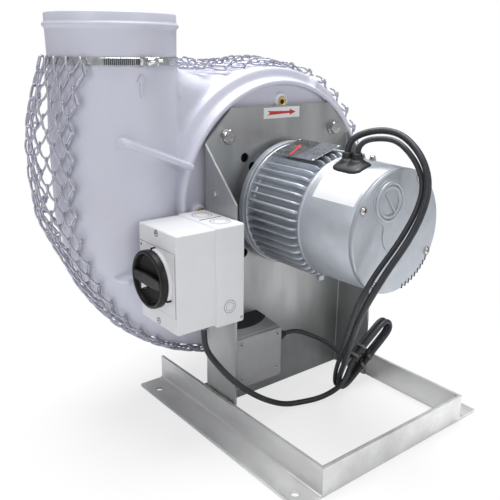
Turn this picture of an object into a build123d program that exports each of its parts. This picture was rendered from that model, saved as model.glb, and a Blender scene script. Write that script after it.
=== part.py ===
from build123d import *
import os
import math

# Plastic centrifugal fan on a steel pedestal, with a finned electronic motor,
# an isolator box, a small control box and a chain-link guard round the volute.
#
# Row frame: origin at the centre of the four floor-bolt holes, at floor level.
# +Z up (the outlet blows up), +Y towards the inlet side, -Y towards the motor's
# end cap, +X to the right as seen from the motor side.  Millimetres.
#
# Most pieces are drawn in the sheet frame, whose Y = 0 is the front face of the
# pedestal sheet, and are moved by SHEET_Y when they are written.

SHEET_Y = 64.0          # front face of the pedestal sheet in the row frame
AXIS_Z = 294.5          # height of the fan and motor axis
# base
RAIL_LEN, RAIL_T, RAIL_H, RAIL_W = 360.0, 4.0, 40.0, 42.0
RAIL_IN = 132.0         # inner face of each rail's upright leg
RAIL_Y0 = -240.0        # front end of the rails, sheet frame
BOLT_X, BOLT_Y1, BOLT_Y2, BOLT_R = 159.0, -218.0, 90.0, 5.5
# pedestal sheet
SH_T, SH_TOP, SH_CH_Z, SH_CH_X, SH_BOT = 3.0, 428.0, 385.0, 88.5, 1.0
FL_D, FL_T, FL_Z = 65.5, 3.0, 317.5
MOTOR_REG_R = 55.0      # register hole for the motor spigot
# casing
CAS_YC = 86.0           # middle plane of the casing, sheet frame
WALL = 4.0
SPIG_X, SPIG_R, SPIG_TOP, BEAD_Z, BEAD_R = -211.0, 80.0, 541.0, 527.0, 83.0
DRUM_R, RECESS_R, RIDGE_R = 182.0, 161.0, 169.0
OPEN_R = 118.0          # motor-side opening
INSERT_R = 138.0        # pitch radius of the threaded inserts
IN_OPEN_R = 96.0        # inlet-side opening
IN_R, IN_END = 80.0, 236.0
# rotor
IMP_R, IMP_EYE, IMP_Y0, IMP_Y1, N_BLADE = 138.0, 84.0, 42.0, 108.0, 24
SHAFT_R = 10.0
# motor
M_FL_R, ST_R0, ST_RI, FIN_R, N_FIN = 87.0, 73.0, 66.0, 84.0, 46
ST_Y0, ST_Y1, EH_R, EH_Y1, CAP_Y1 = -22.0, -119.0, 79.0, -204.0, -210.5
CAP_R = 77.0
# isolator box
SB_X0, SB_XM, SB_X1 = -132.0, -175.0, -231.3
SB_Y0, SB_Y1, SB_Z0, SB_Z1 = -85.0, 2.0, 170.8, 300.0
KNOB_Y, KNOB_Z, KNOB_R = -41.0, 238.0, 35.5
# control box
CB_X0, CB_X1, CB_Z0, CB_Z1, CB_Y = -122.5, -42.5, 53.5, 128.0, -57.0
# cables
D_POWER, D_CONTROL = 8.0, 6.5

S = Location((0, SHEET_Y, 0))
parts = {}


def box(x0, x1, y0, y1, z0, z1):
    return Pos((x0 + x1) / 2, (y0 + y1) / 2, (z0 + z1) / 2) * Box(abs(x1 - x0), abs(y1 - y0), abs(z1 - z0))


def cy(r, y0, y1, x=0.0, z=AXIS_Z):
    return Pos(x, (y0 + y1) / 2, z) * Rot(90, 0, 0) * Cylinder(r, abs(y1 - y0))


def cx(r, x0, x1, y, z):
    return Pos((x0 + x1) / 2, y, z) * Rot(0, 90, 0) * Cylinder(r, abs(x1 - x0))


def cz(r, z0, z1, x, y):
    return Pos(x, y, (z0 + z1) / 2) * Cylinder(r, abs(z1 - z0))


def rev(pts, z=AXIS_Z):
    """turned part about the fan axis; points are (radius, y)"""
    f = make_face(Polyline(*[(p[0], p[1], 0) for p in pts], close=True))
    return Pos(0, 0, z) * revolve(f, Axis.Y)


def ext(face, vec):
    """extrude along a stated vector, whichever way the face looks"""
    v = Vector(*vec)
    return extrude(face, v.length, dir=v.normalized())


def hexy(af, y0, y1, x, z):
    f = Plane.XZ * RegularPolygon(af / 2, 6, major_radius=False)
    return Pos(x, y1, z) * extrude(f, y1 - y0)


def polar(r, a, z=AXIS_Z):
    return (r * math.cos(math.radians(a)), z + r * math.sin(math.radians(a)))


def group(lst):
    return Compound(children=list(lst))


def put(name, shape, shift=True):
    parts[name] = S * shape if shift else shape


# ---------------------------------------------------------------- base rails
def rail(sign):
    leg = box(sign * RAIL_IN, sign * (RAIL_IN + RAIL_T), RAIL_Y0, RAIL_Y0 + RAIL_LEN, 0, RAIL_H)
    foot = box(sign * RAIL_IN, sign * (RAIL_IN + RAIL_W), RAIL_Y0, RAIL_Y0 + RAIL_LEN, 0, RAIL_T)
    r = leg + foot
    inner = [e for e in r.edges().filter_by(Axis.Y) if abs(abs(e.center().X) - (RAIL_IN + RAIL_T)) < 0.1
             and abs(e.center().Z - RAIL_T) < 0.1]
    outer = [e for e in r.edges().filter_by(Axis.Y) if abs(abs(e.center().X) - RAIL_IN) < 0.1
             and abs(e.center().Z) < 0.1]
    r = fillet(inner, 4.0)
    outer = [e for e in r.edges().filter_by(Axis.Y) if abs(abs(e.center().X) - RAIL_IN) < 0.1
             and abs(e.center().Z) < 0.1]
    r = fillet(outer, 2.0)
    for y in (BOLT_Y1, BOLT_Y2):
        r -= cz(BOLT_R, -1, RAIL_T + 1, sign * BOLT_X, y)
    return r


put("rail_left", rail(-1))
put("rail_right", rail(1))

cm = box(-RAIL_IN, RAIL_IN, RAIL_Y0, RAIL_Y0 + RAIL_T, 0, RAIL_H) + \
     box(-RAIL_IN, RAIL_IN, RAIL_Y0, RAIL_Y0 + RAIL_W - 2, 0, RAIL_T)
e = [e for e in cm.edges().filter_by(Axis.X) if abs(e.center().Y - (RAIL_Y0 + RAIL_T)) < 0.1 and abs(e.center().Z - RAIL_T) < 0.1]
cm = fillet(e, 4.0)
put("front_cross_member", cm)

welds = []
for s in (-1, 1):
    tri = Plane.XZ * make_face(Polyline((s * RAIL_IN, RAIL_H), (s * (RAIL_IN + 4), RAIL_H), (s * RAIL_IN, RAIL_H + 5), close=True))
    welds.append(Pos(0, -3, 0) * ext(tri, (0, -60, 0)))
    # corner weld between cross member and rail, on the inside
    tri2 = Plane.XY * make_face(Polyline((s * RAIL_IN, RAIL_Y0 + RAIL_T), (s * (RAIL_IN - 4), RAIL_Y0 + RAIL_T), (s * RAIL_IN, RAIL_Y0 + RAIL_T + 4), close=True))
    welds.append(Pos(0, 0, 9) * ext(tri2, (0, 0, 26)))
put("weld_beads", group(welds))

# ---------------------------------------------------------------- pedestal sheet
u_out = Plane.XY * (Pos(0, (SH_T - FL_D) / 2) * Rectangle(2 * RAIL_IN, SH_T + FL_D))
u_in = Plane.XY * (Pos(0, -FL_D / 2 - 10) * Rectangle(2 * (RAIL_IN - FL_T), FL_D + 20))
uo = fillet(u_out.vertices().group_by(Axis.Y)[-1], 4.5)
ui = fillet(u_in.vertices().group_by(Axis.Y)[-1], 2.0)
sheet = Pos(0, 0, SH_BOT) * ext(uo - ui, (0, 0, SH_TOP - SH_BOT))
side = Plane.YZ * make_face(Polyline((SH_T, SH_BOT), (-FL_D, SH_BOT), (-FL_D, FL_Z), (0, SH_CH_Z), (0, SH_TOP), (SH_T, SH_TOP), close=True))
sheet = sheet & (Pos(-140, 0, 0) * ext(side, (280, 0, 0)))
front = Plane.XZ * make_face(Polyline((-RAIL_IN, SH_BOT), (RAIL_IN, SH_BOT), (RAIL_IN, SH_CH_Z), (SH_CH_X, SH_TOP), (-SH_CH_X, SH_TOP), (-RAIL_IN, SH_CH_Z), close=True))
sheet = sheet & (Pos(0, 10, 0) * ext(front, (0, -90, 0)))
sheet -= cy(MOTOR_REG_R, -1, 4)
for a in (45, 135, 225, 315):
    x, z = polar(INSERT_R, a)
    sheet -= cy(5.5, -1, 4, x, z)
    x, z = polar(95.0, a)
    sheet -= cy(6.5, -1, 4, x, z)
    x, z = polar(76.0, a)
    sheet -= cy(6.5, -1, 4, x, z)
for a in (0, 90, 180, 270):
    x, z = polar(65.0, a)
    sheet -= cy(4.25, -1, 4, x, z)
put("pedestal_sheet", sheet)

bolts, washers = [], []
for a in (45, 135, 225, 315):
    x, z = polar(INSERT_R, a)
    washers.append(cy(10.5, -2.0, 0.0, x, z) - cy(5.3, -3, 1, x, z))
    b = hexy(17.0, -8.4, -2.0, x, z) + cy(4.2, -2.5, 19.0, x, z)
    b -= cy(3.0, -9, -7.9, x, z)
    bolts.append(b)
put("casing_bolts", group(bolts))
put("casing_washers", group(washers))
put("direction_sticker", box(-36.0, 30.0, -0.4, 0.0, 410.5, 426.0))

# ---------------------------------------------------------------- volute casing
VOL = [  # angle (counter-clockwise from +X), outer radius, tube radius
    (100, 189, 68), (70, 187, 68), (40, 186, 68), (10, 187, 69), (-20, 193, 70), (-50, 205, 72),
    (-80, 223, 75), (-110, 245, 78), (-135, 264, 80), (-158, 281, 82), (-180, 296, 83)]
DUCT = [(320.0, -213.0, 83), (370.0, -213.0, 83), (400.0, -213.0, 83), (425.0, -212.6, 82.2), (450.0, -211.8, 81), (470.0, -211.2, 80.0), (484.0, SPIG_X, 79.2)]


def station(a):
    """outer radius and tube radius of the volute at angle a, smoothly interpolated"""
    for i in range(len(VOL) - 1):
        if VOL[i + 1][0] <= a <= VOL[i][0]:
            p0, p1, p2, p3 = VOL[max(i - 1, 0)], VOL[i], VOL[i + 1], VOL[min(i + 2, len(VOL) - 1)]
            t = (p1[0] - a) / (p1[0] - p2[0])
            out = []
            for k in (1, 2):
                m1 = (p2[k] - p0[k]) / max(p0[0] - p2[0], 1) * (p1[0] - p2[0])
                m2 = (p3[k] - p1[k]) / max(p1[0] - p3[0], 1) * (p1[0] - p2[0])
                h = (2 * t ** 3 - 3 * t ** 2 + 1) * p1[k] + (t ** 3 - 2 * t ** 2 + t) * m1 + (-2 * t ** 3 + 3 * t ** 2) * p2[k] + (t ** 3 - t ** 2) * m2
                out.append(h)
            return out
    return list(VOL[-1][1:])


STATIONS = [100.0 - 10.0 * i for i in range(29)]


def tube(off):
    secs = []
    for a in STATIONS:
        R, rho = station(a)
        c, s_ = math.cos(math.radians(a)), math.sin(math.radians(a))
        rc = R - rho
        pl = Plane(origin=(rc * c, CAS_YC, AXIS_Z + rc * s_), x_dir=(c, 0, s_), z_dir=(s_, 0, -c))
        secs.append(pl * Circle(rho - off))
    for z, x, rho in DUCT:
        pl = Plane(origin=(x, CAS_YC, z), x_dir=(-1, 0, 0), z_dir=(0, 0, 1))
        secs.append(pl * Circle(rho - off))
    return [loft(secs[i:i + 6], ruled=True) for i in range(0, len(secs) - 1, 5)]


outer = tube(0.0)
inner = tube(WALL)
drum = rev([(0, 9), (RECESS_R, 9), (RECESS_R, 3), (RIDGE_R, 3), (DRUM_R - 1.5, 14), (DRUM_R, 17), (DRUM_R, 155), (DRUM_R - 2, 158),
            (RIDGE_R, 169), (0, 169)])
drum_in = rev([(0, 13), (165, 13), (165, 12), (DRUM_R - WALL, 20), (DRUM_R - WALL, 152), (166, 165), (0, 165)])
spig = Pos(SPIG_X, CAS_YC, 0) * revolve(make_face(Polyline(
    (0, 482), (79.2, 482), (79.4, 496), (79.8, 522), (81.6, 524.4), (BEAD_R, 527.0), (81.6, 529.4), (SPIG_R, 531.5), (SPIG_R, SPIG_TOP), (0, SPIG_TOP),
    close=True).moved(Location((0, 0, 0), (90, 0, 0)))), Axis.Z)
saddle = Plane.XZ * make_face([
    ThreePointArc((-150, 474), (-104, 458), (-52, 466)), Line((-52, 466), (-52, 400)), Line((-52, 400), (-150, 340)), Line((-150, 340), (-150, 474))])
saddle = Pos(0, CAS_YC + 52, 0) * ext(saddle, (0, -104, 0))
ribs = []
for a, r1, crest in ((157.5, 268.0, -0.6), (196.5, 261.0, 3.2), (244.0, 236.0, 3.2), (289.0, 212.0, 3.2), (67.0, 184.0, 3.2)):
    rise = [(182, crest), (r1 - 8, crest)] if r1 > 200 else [(172, 3.2)]
    f = Plane.XY * make_face(Polyline((160, 3.2), *rise, (r1, 6.5), (r1 + 2, 9), (r1 - 14, 40), (160, 40), close=True))
    g = Pos(0, 0, -4) * ext(f, (0, 0, 8))
    ribs.append(Pos(0, 0, AXIS_Z) * Rot(0, -a, 0) * g)

bosses, holes = [], []
for k in range(8):
    x, z = polar(INSERT_R, 45 * k)
    bosses.append(cy(11.5, 3, 23, x, z))
    holes.append(cy(7.5, 2, 20.2, x, z))
    x, z = polar(112.0, 22.5 + 45 * k)
    bosses.append(cy(6.0, 158, 169, x, z))
    holes.append(cy(2.6, 160, 170, x, z))
recess = rev([(0, -5), (RECESS_R, -5), (RECESS_R, 9), (0, 9)])
hollow = drum_in.cut(*bosses)
recess = recess.cut(*bosses)
casing = drum.fuse(*outer, spig, saddle, *ribs)
casing = casing.cut(*inner, hollow, cz(75.2, 470, 545, SPIG_X, CAS_YC), recess, cy(OPEN_R, 5, 14), cy(IN_OPEN_R, 164, 170), *holes)
casing = sorted(casing.solids(), key=lambda q: -q.volume)[0]
put("volute_casing", casing)

ins = []
for k in range(8):
    x, z = polar(INSERT_R, 45 * k)
    ins.append(cy(7.45, 3.2, 20, x, z) - cy(4.25, 2, 21, x, z))
put("casing_inserts", group(ins))

put("back_cover_disc", rev([(24, 13), (125, 13), (125, 18), (30, 18), (30, 22), (24, 22)]))
put("shaft_seal", rev([(SHAFT_R + 0.06, 12), (24, 12), (24, 21), (SHAFT_R + 4, 21), (SHAFT_R + 0.06, 19)]))

inlet = rev([(IN_R - 4, IN_END), (IN_R, IN_END), (IN_R, IN_END - 12), (IN_R + 3, IN_END - 16), (IN_R, IN_END - 20), (IN_R, 181), (IN_R + 6, 175),
             (122, 175), (122, 169), (95, 169), (95, 165), (84, 150), (76, 128), (75, 112), (71.5, 112), (72, 128), (76, 146), (76, 160)])
for k in range(8):
    x, z = polar(112.0, 22.5 + 45 * k)
    inlet -= cy(2.9, 168, 176, x, z)
put("inlet_cone", inlet)
scr = []
for k in range(8):
    x, z = polar(112.0, 22.5 + 45 * k)
    s_ = cy(5.0, 175, 178.2, x, z) + cy(2.5, 161, 175.5, x, z)
    s_ -= Pos(x, 178, z) * Box(1.2, 2, 6)
    scr.append(s_)
put("inlet_screws", group(scr))

# clamp round the spigot
CL_Z0, CL_Z1 = 481.5, 490.5
band = Pos(SPIG_X, CAS_YC, 0) * revolve(make_face(Polyline((79.9, CL_Z0), (81.1, CL_Z0), (81.1, CL_Z1), (79.9, CL_Z1), close=True).moved(Location((0, 0, 0), (90, 0, 0)))), Axis.Z)
put("clamp_band", band)
hs = box(-16, 6, -9.5, 2.6, -6.0, 6.0)
hs = fillet(hs.edges().filter_by(Axis.X), 2.0)
hs -= cx(4.1, -17, 7, -4.4, 0)
hous = Pos(SPIG_X + 13, CAS_YC - 81.15, (CL_Z0 + CL_Z1) / 2) * hs
tr = cz(81.12, CL_Z0 - 4, CL_Z1 + 4, SPIG_X, CAS_YC)
hous -= tr
put("clamp_housing", hous)
sc = cx(3.9, -22, 7, -4.4, 0) + cx(5.6, -28, -22, -4.4, 0)
put("clamp_screw", Pos(SPIG_X + 13, CAS_YC - 81.15, (CL_Z0 + CL_Z1) / 2) * sc - tr)


# guard: a thin closed shell in the place of the woven wire, lying round the volute's rim
G_IN, G_OUT, G_FRONT, G_REAR = 3.5, 11.0, 30.0, -52.0


def sector(cx_, cz_, rho, ux, uz):
    """section of the shell: cx_, cz_ is the tube's centre, ux, uz the way out from the fan axis"""
    def pt(off, f):
        rr_ = rho + off
        y = CAS_YC - rr_ * math.sin(math.radians(f))
        q = rr_ * math.cos(math.radians(f))
        base = cx_ * ux + (cz_ - AXIS_Z) * uz
        q = max(q, DRUM_R + off + 0.6 - base)
        return (cx_ + q * ux, y, cz_ + q * uz)
    mid = (G_FRONT + G_REAR) / 2
    return make_face([ThreePointArc(pt(G_OUT, G_FRONT), pt(G_OUT, mid), pt(G_OUT, G_REAR)), Line(pt(G_OUT, G_REAR), pt(G_IN, G_REAR)),
                      ThreePointArc(pt(G_IN, G_REAR), pt(G_IN, mid), pt(G_IN, G_FRONT)), Line(pt(G_IN, G_FRONT), pt(G_OUT, G_FRONT))])


gsec = []
for a in STATIONS:
    R, rho = station(a)
    c, s_ = math.cos(math.radians(a)), math.sin(math.radians(a))
    gsec.append(sector((R - rho) * c, AXIS_Z + (R - rho) * s_, rho, c, s_))
for z, x, rho in DUCT[:-1] + [(488.0, SPIG_X, 79.6)]:
    lift = 14.0 * math.exp(-((z - 412.0) / 48.0) ** 2) * min(1.0, (488.0 - z) / 25.0)      # the loose strip stands off the neck below the clamp
    gsec.append(sector(x, z, rho + lift, -1.0, 0.0))
gl_ = [loft(gsec[i:i + 6], ruled=True) for i in range(0, len(gsec) - 1, 5)]
strap = Plane.XZ * make_face(Polyline((-27, 484.5), (-27, 492.0), (-129.0, 494.5), (-129.0, 487.0), close=True))
strap = Pos(0, 137, 0) * ext(strap, (0, -84, 0))
guard = gl_[0].fuse(*gl_[1:], strap)
guard = sorted(guard.solids(), key=lambda q: -q.volume)[0]
put("guard_mesh", guard)

# ---------------------------------------------------------------- rotor
back = rev([(22.3, IMP_Y0 - 3), (IMP_R, IMP_Y0 - 3), (IMP_R, IMP_Y0), (22.3, IMP_Y0)])
shroud = rev([(IMP_EYE, IMP_Y1 + 8), (IMP_EYE - 3, IMP_Y1 + 8), (IMP_EYE - 3, IMP_Y1 + 2), (92, IMP_Y1 - 4), (IMP_R, IMP_Y1 - 16), (IMP_R, IMP_Y1 - 13), (93, IMP_Y1 - 1), (IMP_EYE, IMP_Y1 + 3)])
imp = back + shroud
blades = []
for k in range(N_BLADE):
    a = 360.0 / N_BLADE * k
    p0, p1, p2 = polar(88, a, 0), polar(114, a + 15, 0), polar(136.5, a + 21, 0)
    q0, q1, q2 = polar(88, a + 1.4, 0), polar(114, a + 16.2, 0), polar(136.5, a + 22.1, 0)
    f = Plane.XZ * make_face([ThreePointArc(p0, p1, p2), Line(p2, q2), ThreePointArc(q2, q1, q0), Line(q0, p0)])
    blades.append(Pos(0, IMP_Y1 - 2, AXIS_Z) * ext(f, (0, -(IMP_Y1 - 2 - (IMP_Y0 - 1)), 0)))
cut = rev([(IMP_EYE, IMP_Y1 + 20), (IMP_EYE, IMP_Y1 + 3), (93, IMP_Y1 - 1.0), (IMP_R + 5, IMP_Y1 - 13.6), (IMP_R + 5, IMP_Y1 + 20)])
blades = [b.cut(cut) for b in blades]
imp = imp.fuse(*blades)
imp -= cy(IMP_EYE - 3, IMP_Y0 + 0.01, IMP_Y1 + 30)
put("impeller", imp)
hub = rev([(SHAFT_R, 26), (20, 26), (20, IMP_Y0 - 5), (40, IMP_Y0 - 5), (40, IMP_Y0 - 3), (22.3, IMP_Y0 - 3), (22.3, IMP_Y0 + 12), (SHAFT_R, IMP_Y0 + 12)])
hub -= box(-3, 3, 25, IMP_Y0 + 13, AXIS_Z, AXIS_Z + 13)
put("impeller_hub", hub)
put("shaft_key", box(-3, 3, 28, IMP_Y0 + 10, AXIS_Z + 6.5, AXIS_Z + 12.8))
nut = rev([(5, IMP_Y0 + 12), (18, IMP_Y0 + 12), (18, IMP_Y0 + 15), (12, IMP_Y0 + 15), (12, IMP_Y0 + 24), (10, IMP_Y0 + 27), (0, IMP_Y0 + 27), (0, IMP_Y0 + 25), (5, IMP_Y0 + 25)])
put("hub_nut", nut)
shaft = rev([(0, -126), (SHAFT_R - 2, -126), (SHAFT_R - 2, -114), (SHAFT_R, -114), (SHAFT_R, IMP_Y0 + 12), (5, IMP_Y0 + 12), (5, IMP_Y0 + 24), (0, IMP_Y0 + 24)])
shaft -= box(-3, 3, 28, IMP_Y0 + 10, AXIS_Z + 6.5, AXIS_Z + 13)
put("motor_shaft", shaft)
put("rotor_core", rev([(SHAFT_R, -100), (37.5, -100), (37.5, -34), (SHAFT_R, -34)]))

# ---------------------------------------------------------------- motor
shield = rev([(23.6, 2.8), (54.9, 2.8), (54.9, 0), (74, 0), (74, -13), (M_FL_R - 1, -13), (M_FL_R, -14), (M_FL_R, -21), (M_FL_R - 1, -22), (58, -22),
              (58, -12), (30, -12), (30, -22), (23.6, -22), (23.6, -8), (14, -8), (14, -5), (23.6, -5)])
for a in (0, 90, 180, 270):
    x, z = polar(65.0, a)
    shield += cy(8, -14, -0.0, x, z)
    shield -= cy(4.0, -12, 1, x, z)
put("drive_end_shield", shield)
put("bearing_drive_end", rev([(SHAFT_R + 0.05, -22), (23.6, -22), (23.6, -8), (SHAFT_R + 0.05, -8)]))
put("bearing_rear_end", rev([(SHAFT_R - 1.95, -125), (16, -125), (16, -115), (SHAFT_R - 1.95, -115)]))

gear = []
for k in range(N_FIN):
    a = 360.0 / N_FIN * (k + 0.5)
    hw = (3.4 if k % 11 in (3, 6) else 2.3) / 2
    for r, t in ((ST_R0, -hw * 1.25), (FIN_R, -hw), (FIN_R, hw), (ST_R0, hw * 1.25)):
        gear.append(polar(r, a + math.degrees(t / r), 0))
st = Pos(0, ST_Y0, AXIS_Z) * ext(Plane.XZ * make_face(Polyline(*gear, close=True)), (0, -(ST_Y0 - ST_Y1 - 4.0), 0))
st += rev([(ST_RI, ST_Y0), (FIN_R + 1.5, ST_Y0), (FIN_R + 1.5, ST_Y0 - 4), (ST_RI, ST_Y0 - 4)])
st += rev([(ST_RI, ST_Y1 + 4.0), (80.5, ST_Y1 + 4.0), (80.5, ST_Y1), (ST_RI, ST_Y1)])
st -= cy(ST_RI, ST_Y0 + 1, ST_Y1 - 1)
put("stator_housing", st)
core = rev([(38.0, -100), (ST_RI, -100), (ST_RI, -34), (38.0, -34)])
for k in range(12):
    a = 30 * k
    x, z = polar(50, a)
    core -= Pos(x, -67, z) * Rot(0, -a, 0) * Box(16, 70, 10)
put("stator_core", core)
put("stator_windings", group([rev([(42, -113), (58, -113), (60, -108), (60, -100.4), (40, -100.4), (40, -108)]),
                              rev([(42, -23.5), (40, -28), (40, -33.6), (57, -33.6), (57, -28), (55, -23.5)])]))
mb = []
for a in (0, 90, 180, 270):
    x, z = polar(65.0, a)
    m = cy(6.5, 3.0, 11.0, x, z) + cy(4.0, -12, 3.5, x, z)
    m -= Pos(x, 11, z) * Rot(90, 0, 0) * extrude(RegularPolygon(3.2, 6, major_radius=False), 8, both=True)
    mb.append(m)
put("motor_bolts", group(mb))

eh = rev([(EH_R - 4, EH_Y1), (EH_R - 2, EH_Y1), (EH_R, ST_Y1 - 8), (EH_R + 1, ST_Y1 - 4), (EH_R + 1, ST_Y1), (16, ST_Y1), (16, -126), (EH_R - 4, -126)])
eh += rev([(16, ST_Y1), (16, ST_Y1 + 4), (21, ST_Y1 + 4), (21, ST_Y1)])
put("electronics_housing", eh)
el = cy(60, -152, -150) + box(-30, 10, -150.5, -131, AXIS_Z + 12, AXIS_Z + 40) + cy(11, -150.5, -128, 30, AXIS_Z - 18) + \
     cy(11, -150.5, -128, 3, AXIS_Z - 33) + box(-46, -20, -150.5, -136, AXIS_Z - 26, AXIS_Z - 4) + box(-12, 12, -190, -151.5, AXIS_Z - 20, AXIS_Z + 6)
for a in (30, 150, 270):
    x, z = polar(53, a)
    el += cy(4, -150.5, -126, x, z)
put("control_electronics", el)

PLX, PLZ = -18.9, AXIS_Z + 39.8
cap = rev([(0, EH_Y1), (CAP_R, EH_Y1), (CAP_R, CAP_Y1 + 1), (CAP_R - 1, CAP_Y1), (0, CAP_Y1)])
cap += cy(27.5, CAP_Y1 - 2.5, CAP_Y1)
cap += cy(25.5, CAP_Y1 - 3.5, CAP_Y1, PLX, PLZ)
CAPS = (151.0, 61.3, -29.3, 241.0)
for a in CAPS:
    x, z = polar(71.0, a)
    cap -= cy(5.6, CAP_Y1 + 3.5, CAP_Y1 - 1, x, z)
    cap -= cy(2.5, CAP_Y1 + 10, CAP_Y1 - 1, x, z)
cap -= cy(20.0, CAP_Y1 + 10, CAP_Y1 - 5, PLX, PLZ)
put("end_cap", cap)
plug = cy(20.0, EH_Y1 + 4, CAP_Y1 - 5.5, PLX, PLZ) - cy(14.5, CAP_Y1 + 2.0, CAP_Y1 - 7, PLX, PLZ)
plug += Pos(PLX, CAP_Y1 - 1.0, PLZ) * Rot(0, -35, 0) * Box(3.6, 8.0, 30)
put("end_cap_plug", plug)
cs = []
for a in CAPS:
    x, z = polar(71.0, a)
    c_ = cy(4.6, CAP_Y1 + 3.5, CAP_Y1 - 0.4, x, z) + cy(2.3, CAP_Y1 + 18, CAP_Y1 + 3, x, z)
    c_ -= Pos(x, CAP_Y1 - 0.4, z) * Box(1.0, 2.4, 6) + Pos(x, CAP_Y1 - 0.4, z) * Box(6, 2.4, 1.0)
    cs.append(c_)
# pilot holes for the cap screws in the housing wall
eh2 = parts.pop("electronics_housing")
for a in CAPS:
    x, z = polar(71.0, a)
    lug = cy(5.5, -188, EH_Y1, x, z) & cy(EH_R - 2, -190, EH_Y1)
    eh2 = eh2 + S * lug
    eh2 -= S * cy(2.3, -191, EH_Y1 - 1, x, z)
parts["electronics_housing"] = eh2
put("end_cap_screws", group(cs))

NA = 106.7
npn = Pos(0, 0, AXIS_Z) * Rot(0, 90 - NA, 0) * box(-19.5, 31.5, -106, -28.5, 84.1, 85.1)
put("motor_nameplate", npn)
lb = (cy(EH_R - 0.1, -201, -134) - cy(EH_R - 2.6, -203, -132))
wedge = Plane.XZ * make_face(Polyline((0, 0), (200 * math.cos(math.radians(125.5)), 200 * math.sin(math.radians(125.5))),
                                      (200 * math.cos(math.radians(150)), 200 * math.sin(math.radians(150))), close=True))
lb = lb & (Pos(0, -134, AXIS_Z) * ext(wedge, (0, -67, 0)))
lb = lb - S.inverse() * eh2
lb = sorted(lb.solids(), key=lambda s: -s.volume)[0]
put("motor_label", lb)

# rubber cable boot with two sleeves, on the housing's upper left
pad = cy(EH_R + 4.2, -177, -131) - cy(EH_R - 1.0, -180, -128)
w2 = Plane.XZ * make_face(Polyline((0, 0), (200 * math.cos(math.radians(97)), 200 * math.sin(math.radians(97))),
                                   (200 * math.cos(math.radians(120)), 200 * math.sin(math.radians(120))), close=True))
pad = pad & (Pos(0, -131, AXIS_Z) * ext(w2, (0, -46, 0)))
SL1, SL2 = (-21.0, -144.0), (-21.0, -160.0)
boot = pad + cz(6.6, 366, 384, *SL1) + cz(5.9, 366, 384, *SL2)
boot = boot - S.inverse() * eh2
boot = sorted(boot.solids(), key=lambda s: -s.volume)[0]
put("cable_boot", boot)
bs = []
for y in (-141.0, -158.0):
    x, z = polar(EH_R - 1.5, 84)
    b = Pos(x, y, z) * Rot(0, 6, 0) * (Pos(0, 0, 4.5) * Cylinder(3.6, 5) + Pos(0, 0, 1.0) * Cylinder(1.8, 6))
    bs.append(b)
bsg = []
for b in bs:
    bb = b - S.inverse() * eh2
    bsg.append(sorted(bb.solids(), key=lambda s: -s.volume)[0])
put("boot_screws", group(bsg))

# ---------------------------------------------------------------- isolator box on the left flange
base = box(SB_XM, SB_X0, SB_Y0, SB_Y1, SB_Z0, SB_Z1)
base = fillet(base.edges().filter_by(Axis.X), 4.0)
base -= box(SB_XM - 1, SB_X0 - 3.0, SB_Y0 + 3, SB_Y1 - 3, SB_Z0 + 3, SB_Z1 - 3)
GL_X, GL_Y = -160.0, -34.0
base -= cz(6.2, SB_Z0 - 1, SB_Z0 + 4, GL_X, GL_Y)
put("switch_base", base)
lid = box(SB_X1, SB_XM, SB_Y0 + 0.8, SB_Y1 - 1.4, SB_Z0 + 4.5, SB_Z1 - 1.4)
lid = fillet(lid.edges().filter_by(Axis.X), 2.5)
lid = fillet(lid.faces().sort_by(Axis.X)[0].edges(), 1.2)
lid -= box(SB_X1 + 3.0, SB_XM + 1, SB_Y0 + 4, SB_Y1 - 4.5, SB_Z0 + 8, SB_Z1 - 5)
lid -= cx(8.0, SB_X1 - 1, SB_X1 + 5, KNOB_Y, KNOB_Z)
for z in (294.0, 181.5):
    lid += cx(5.5, SB_X1 + 2, SB_XM, KNOB_Y, z) & box(SB_X1, SB_XM, SB_Y0, SB_Y1, SB_Z0 + 4.5, SB_Z1 - 1.4)
    lid -= cx(3.4, SB_X1 - 1, SB_X1 + 3, KNOB_Y, z)
    lid -= cx(1.8, SB_X1, SB_XM + 1, KNOB_Y, z)
put("switch_lid", lid)
ls = []
for z in (294.0, 181.5):
    s_ = cx(3.3, SB_X1 + 0.3, SB_X1 + 3, KNOB_Y, z) + cx(1.75, SB_X1 + 2, SB_XM, KNOB_Y, z)
    s_ -= Pos(SB_X1 + 0.3, KNOB_Y, z) * Box(1.8, 4.4, 1.0) + Pos(SB_X1 + 0.3, KNOB_Y, z) * Box(1.8, 1.0, 4.4)
    ls.append(s_)
put("switch_lid_screws", group(ls))
lp = box(SB_X1 - 0.8, SB_X1, -80.5, -1.5, 197.5, 276.5) - cx(8.0, SB_X1 - 2, SB_X1 + 1, KNOB_Y, KNOB_Z)
put("switch_label_plate", lp)
XC = SB_X1 - 0.8
coll = cx(37.0, XC - 5.5, XC, KNOB_Y, KNOB_Z) - cx(8.0, XC - 9, XC + 1, KNOB_Y, KNOB_Z)
put("switch_collar", coll)
XK = XC - 5.5 - 0.4
knob = cx(KNOB_R, XK - 8.0, XK, KNOB_Y, KNOB_Z)
knob = fillet(knob.faces().sort_by(Axis.X)[0].edges(), 1.5)
knob -= cx(KNOB_R - 4.0, XK - 9, XK - 2.5, KNOB_Y, KNOB_Z)
grip = Pos(XK - 5.2, KNOB_Y, KNOB_Z) * Box(7.6, 64.5, 13.0)
grip = fillet(grip.edges().filter_by(Axis.X), 2.0)
knob += grip
knob += Pos(XK - 2.5, KNOB_Y, KNOB_Z) * Rot(0, -90, 0) * Cylinder(9, 5)
knob -= cx(4.5, XK - 7.2, XK + 1, KNOB_Y, KNOB_Z)
put("switch_knob", knob)
put("switch_spindle", cx(4.5, XK - 7.2, XC + 30, KNOB_Y, KNOB_Z))
blk = box(-206, -137.0, KNOB_Y - 24, KNOB_Y + 24, KNOB_Z - 30, KNOB_Z + 30) - cx(4.56, -207, -201.0, KNOB_Y, KNOB_Z)
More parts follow.
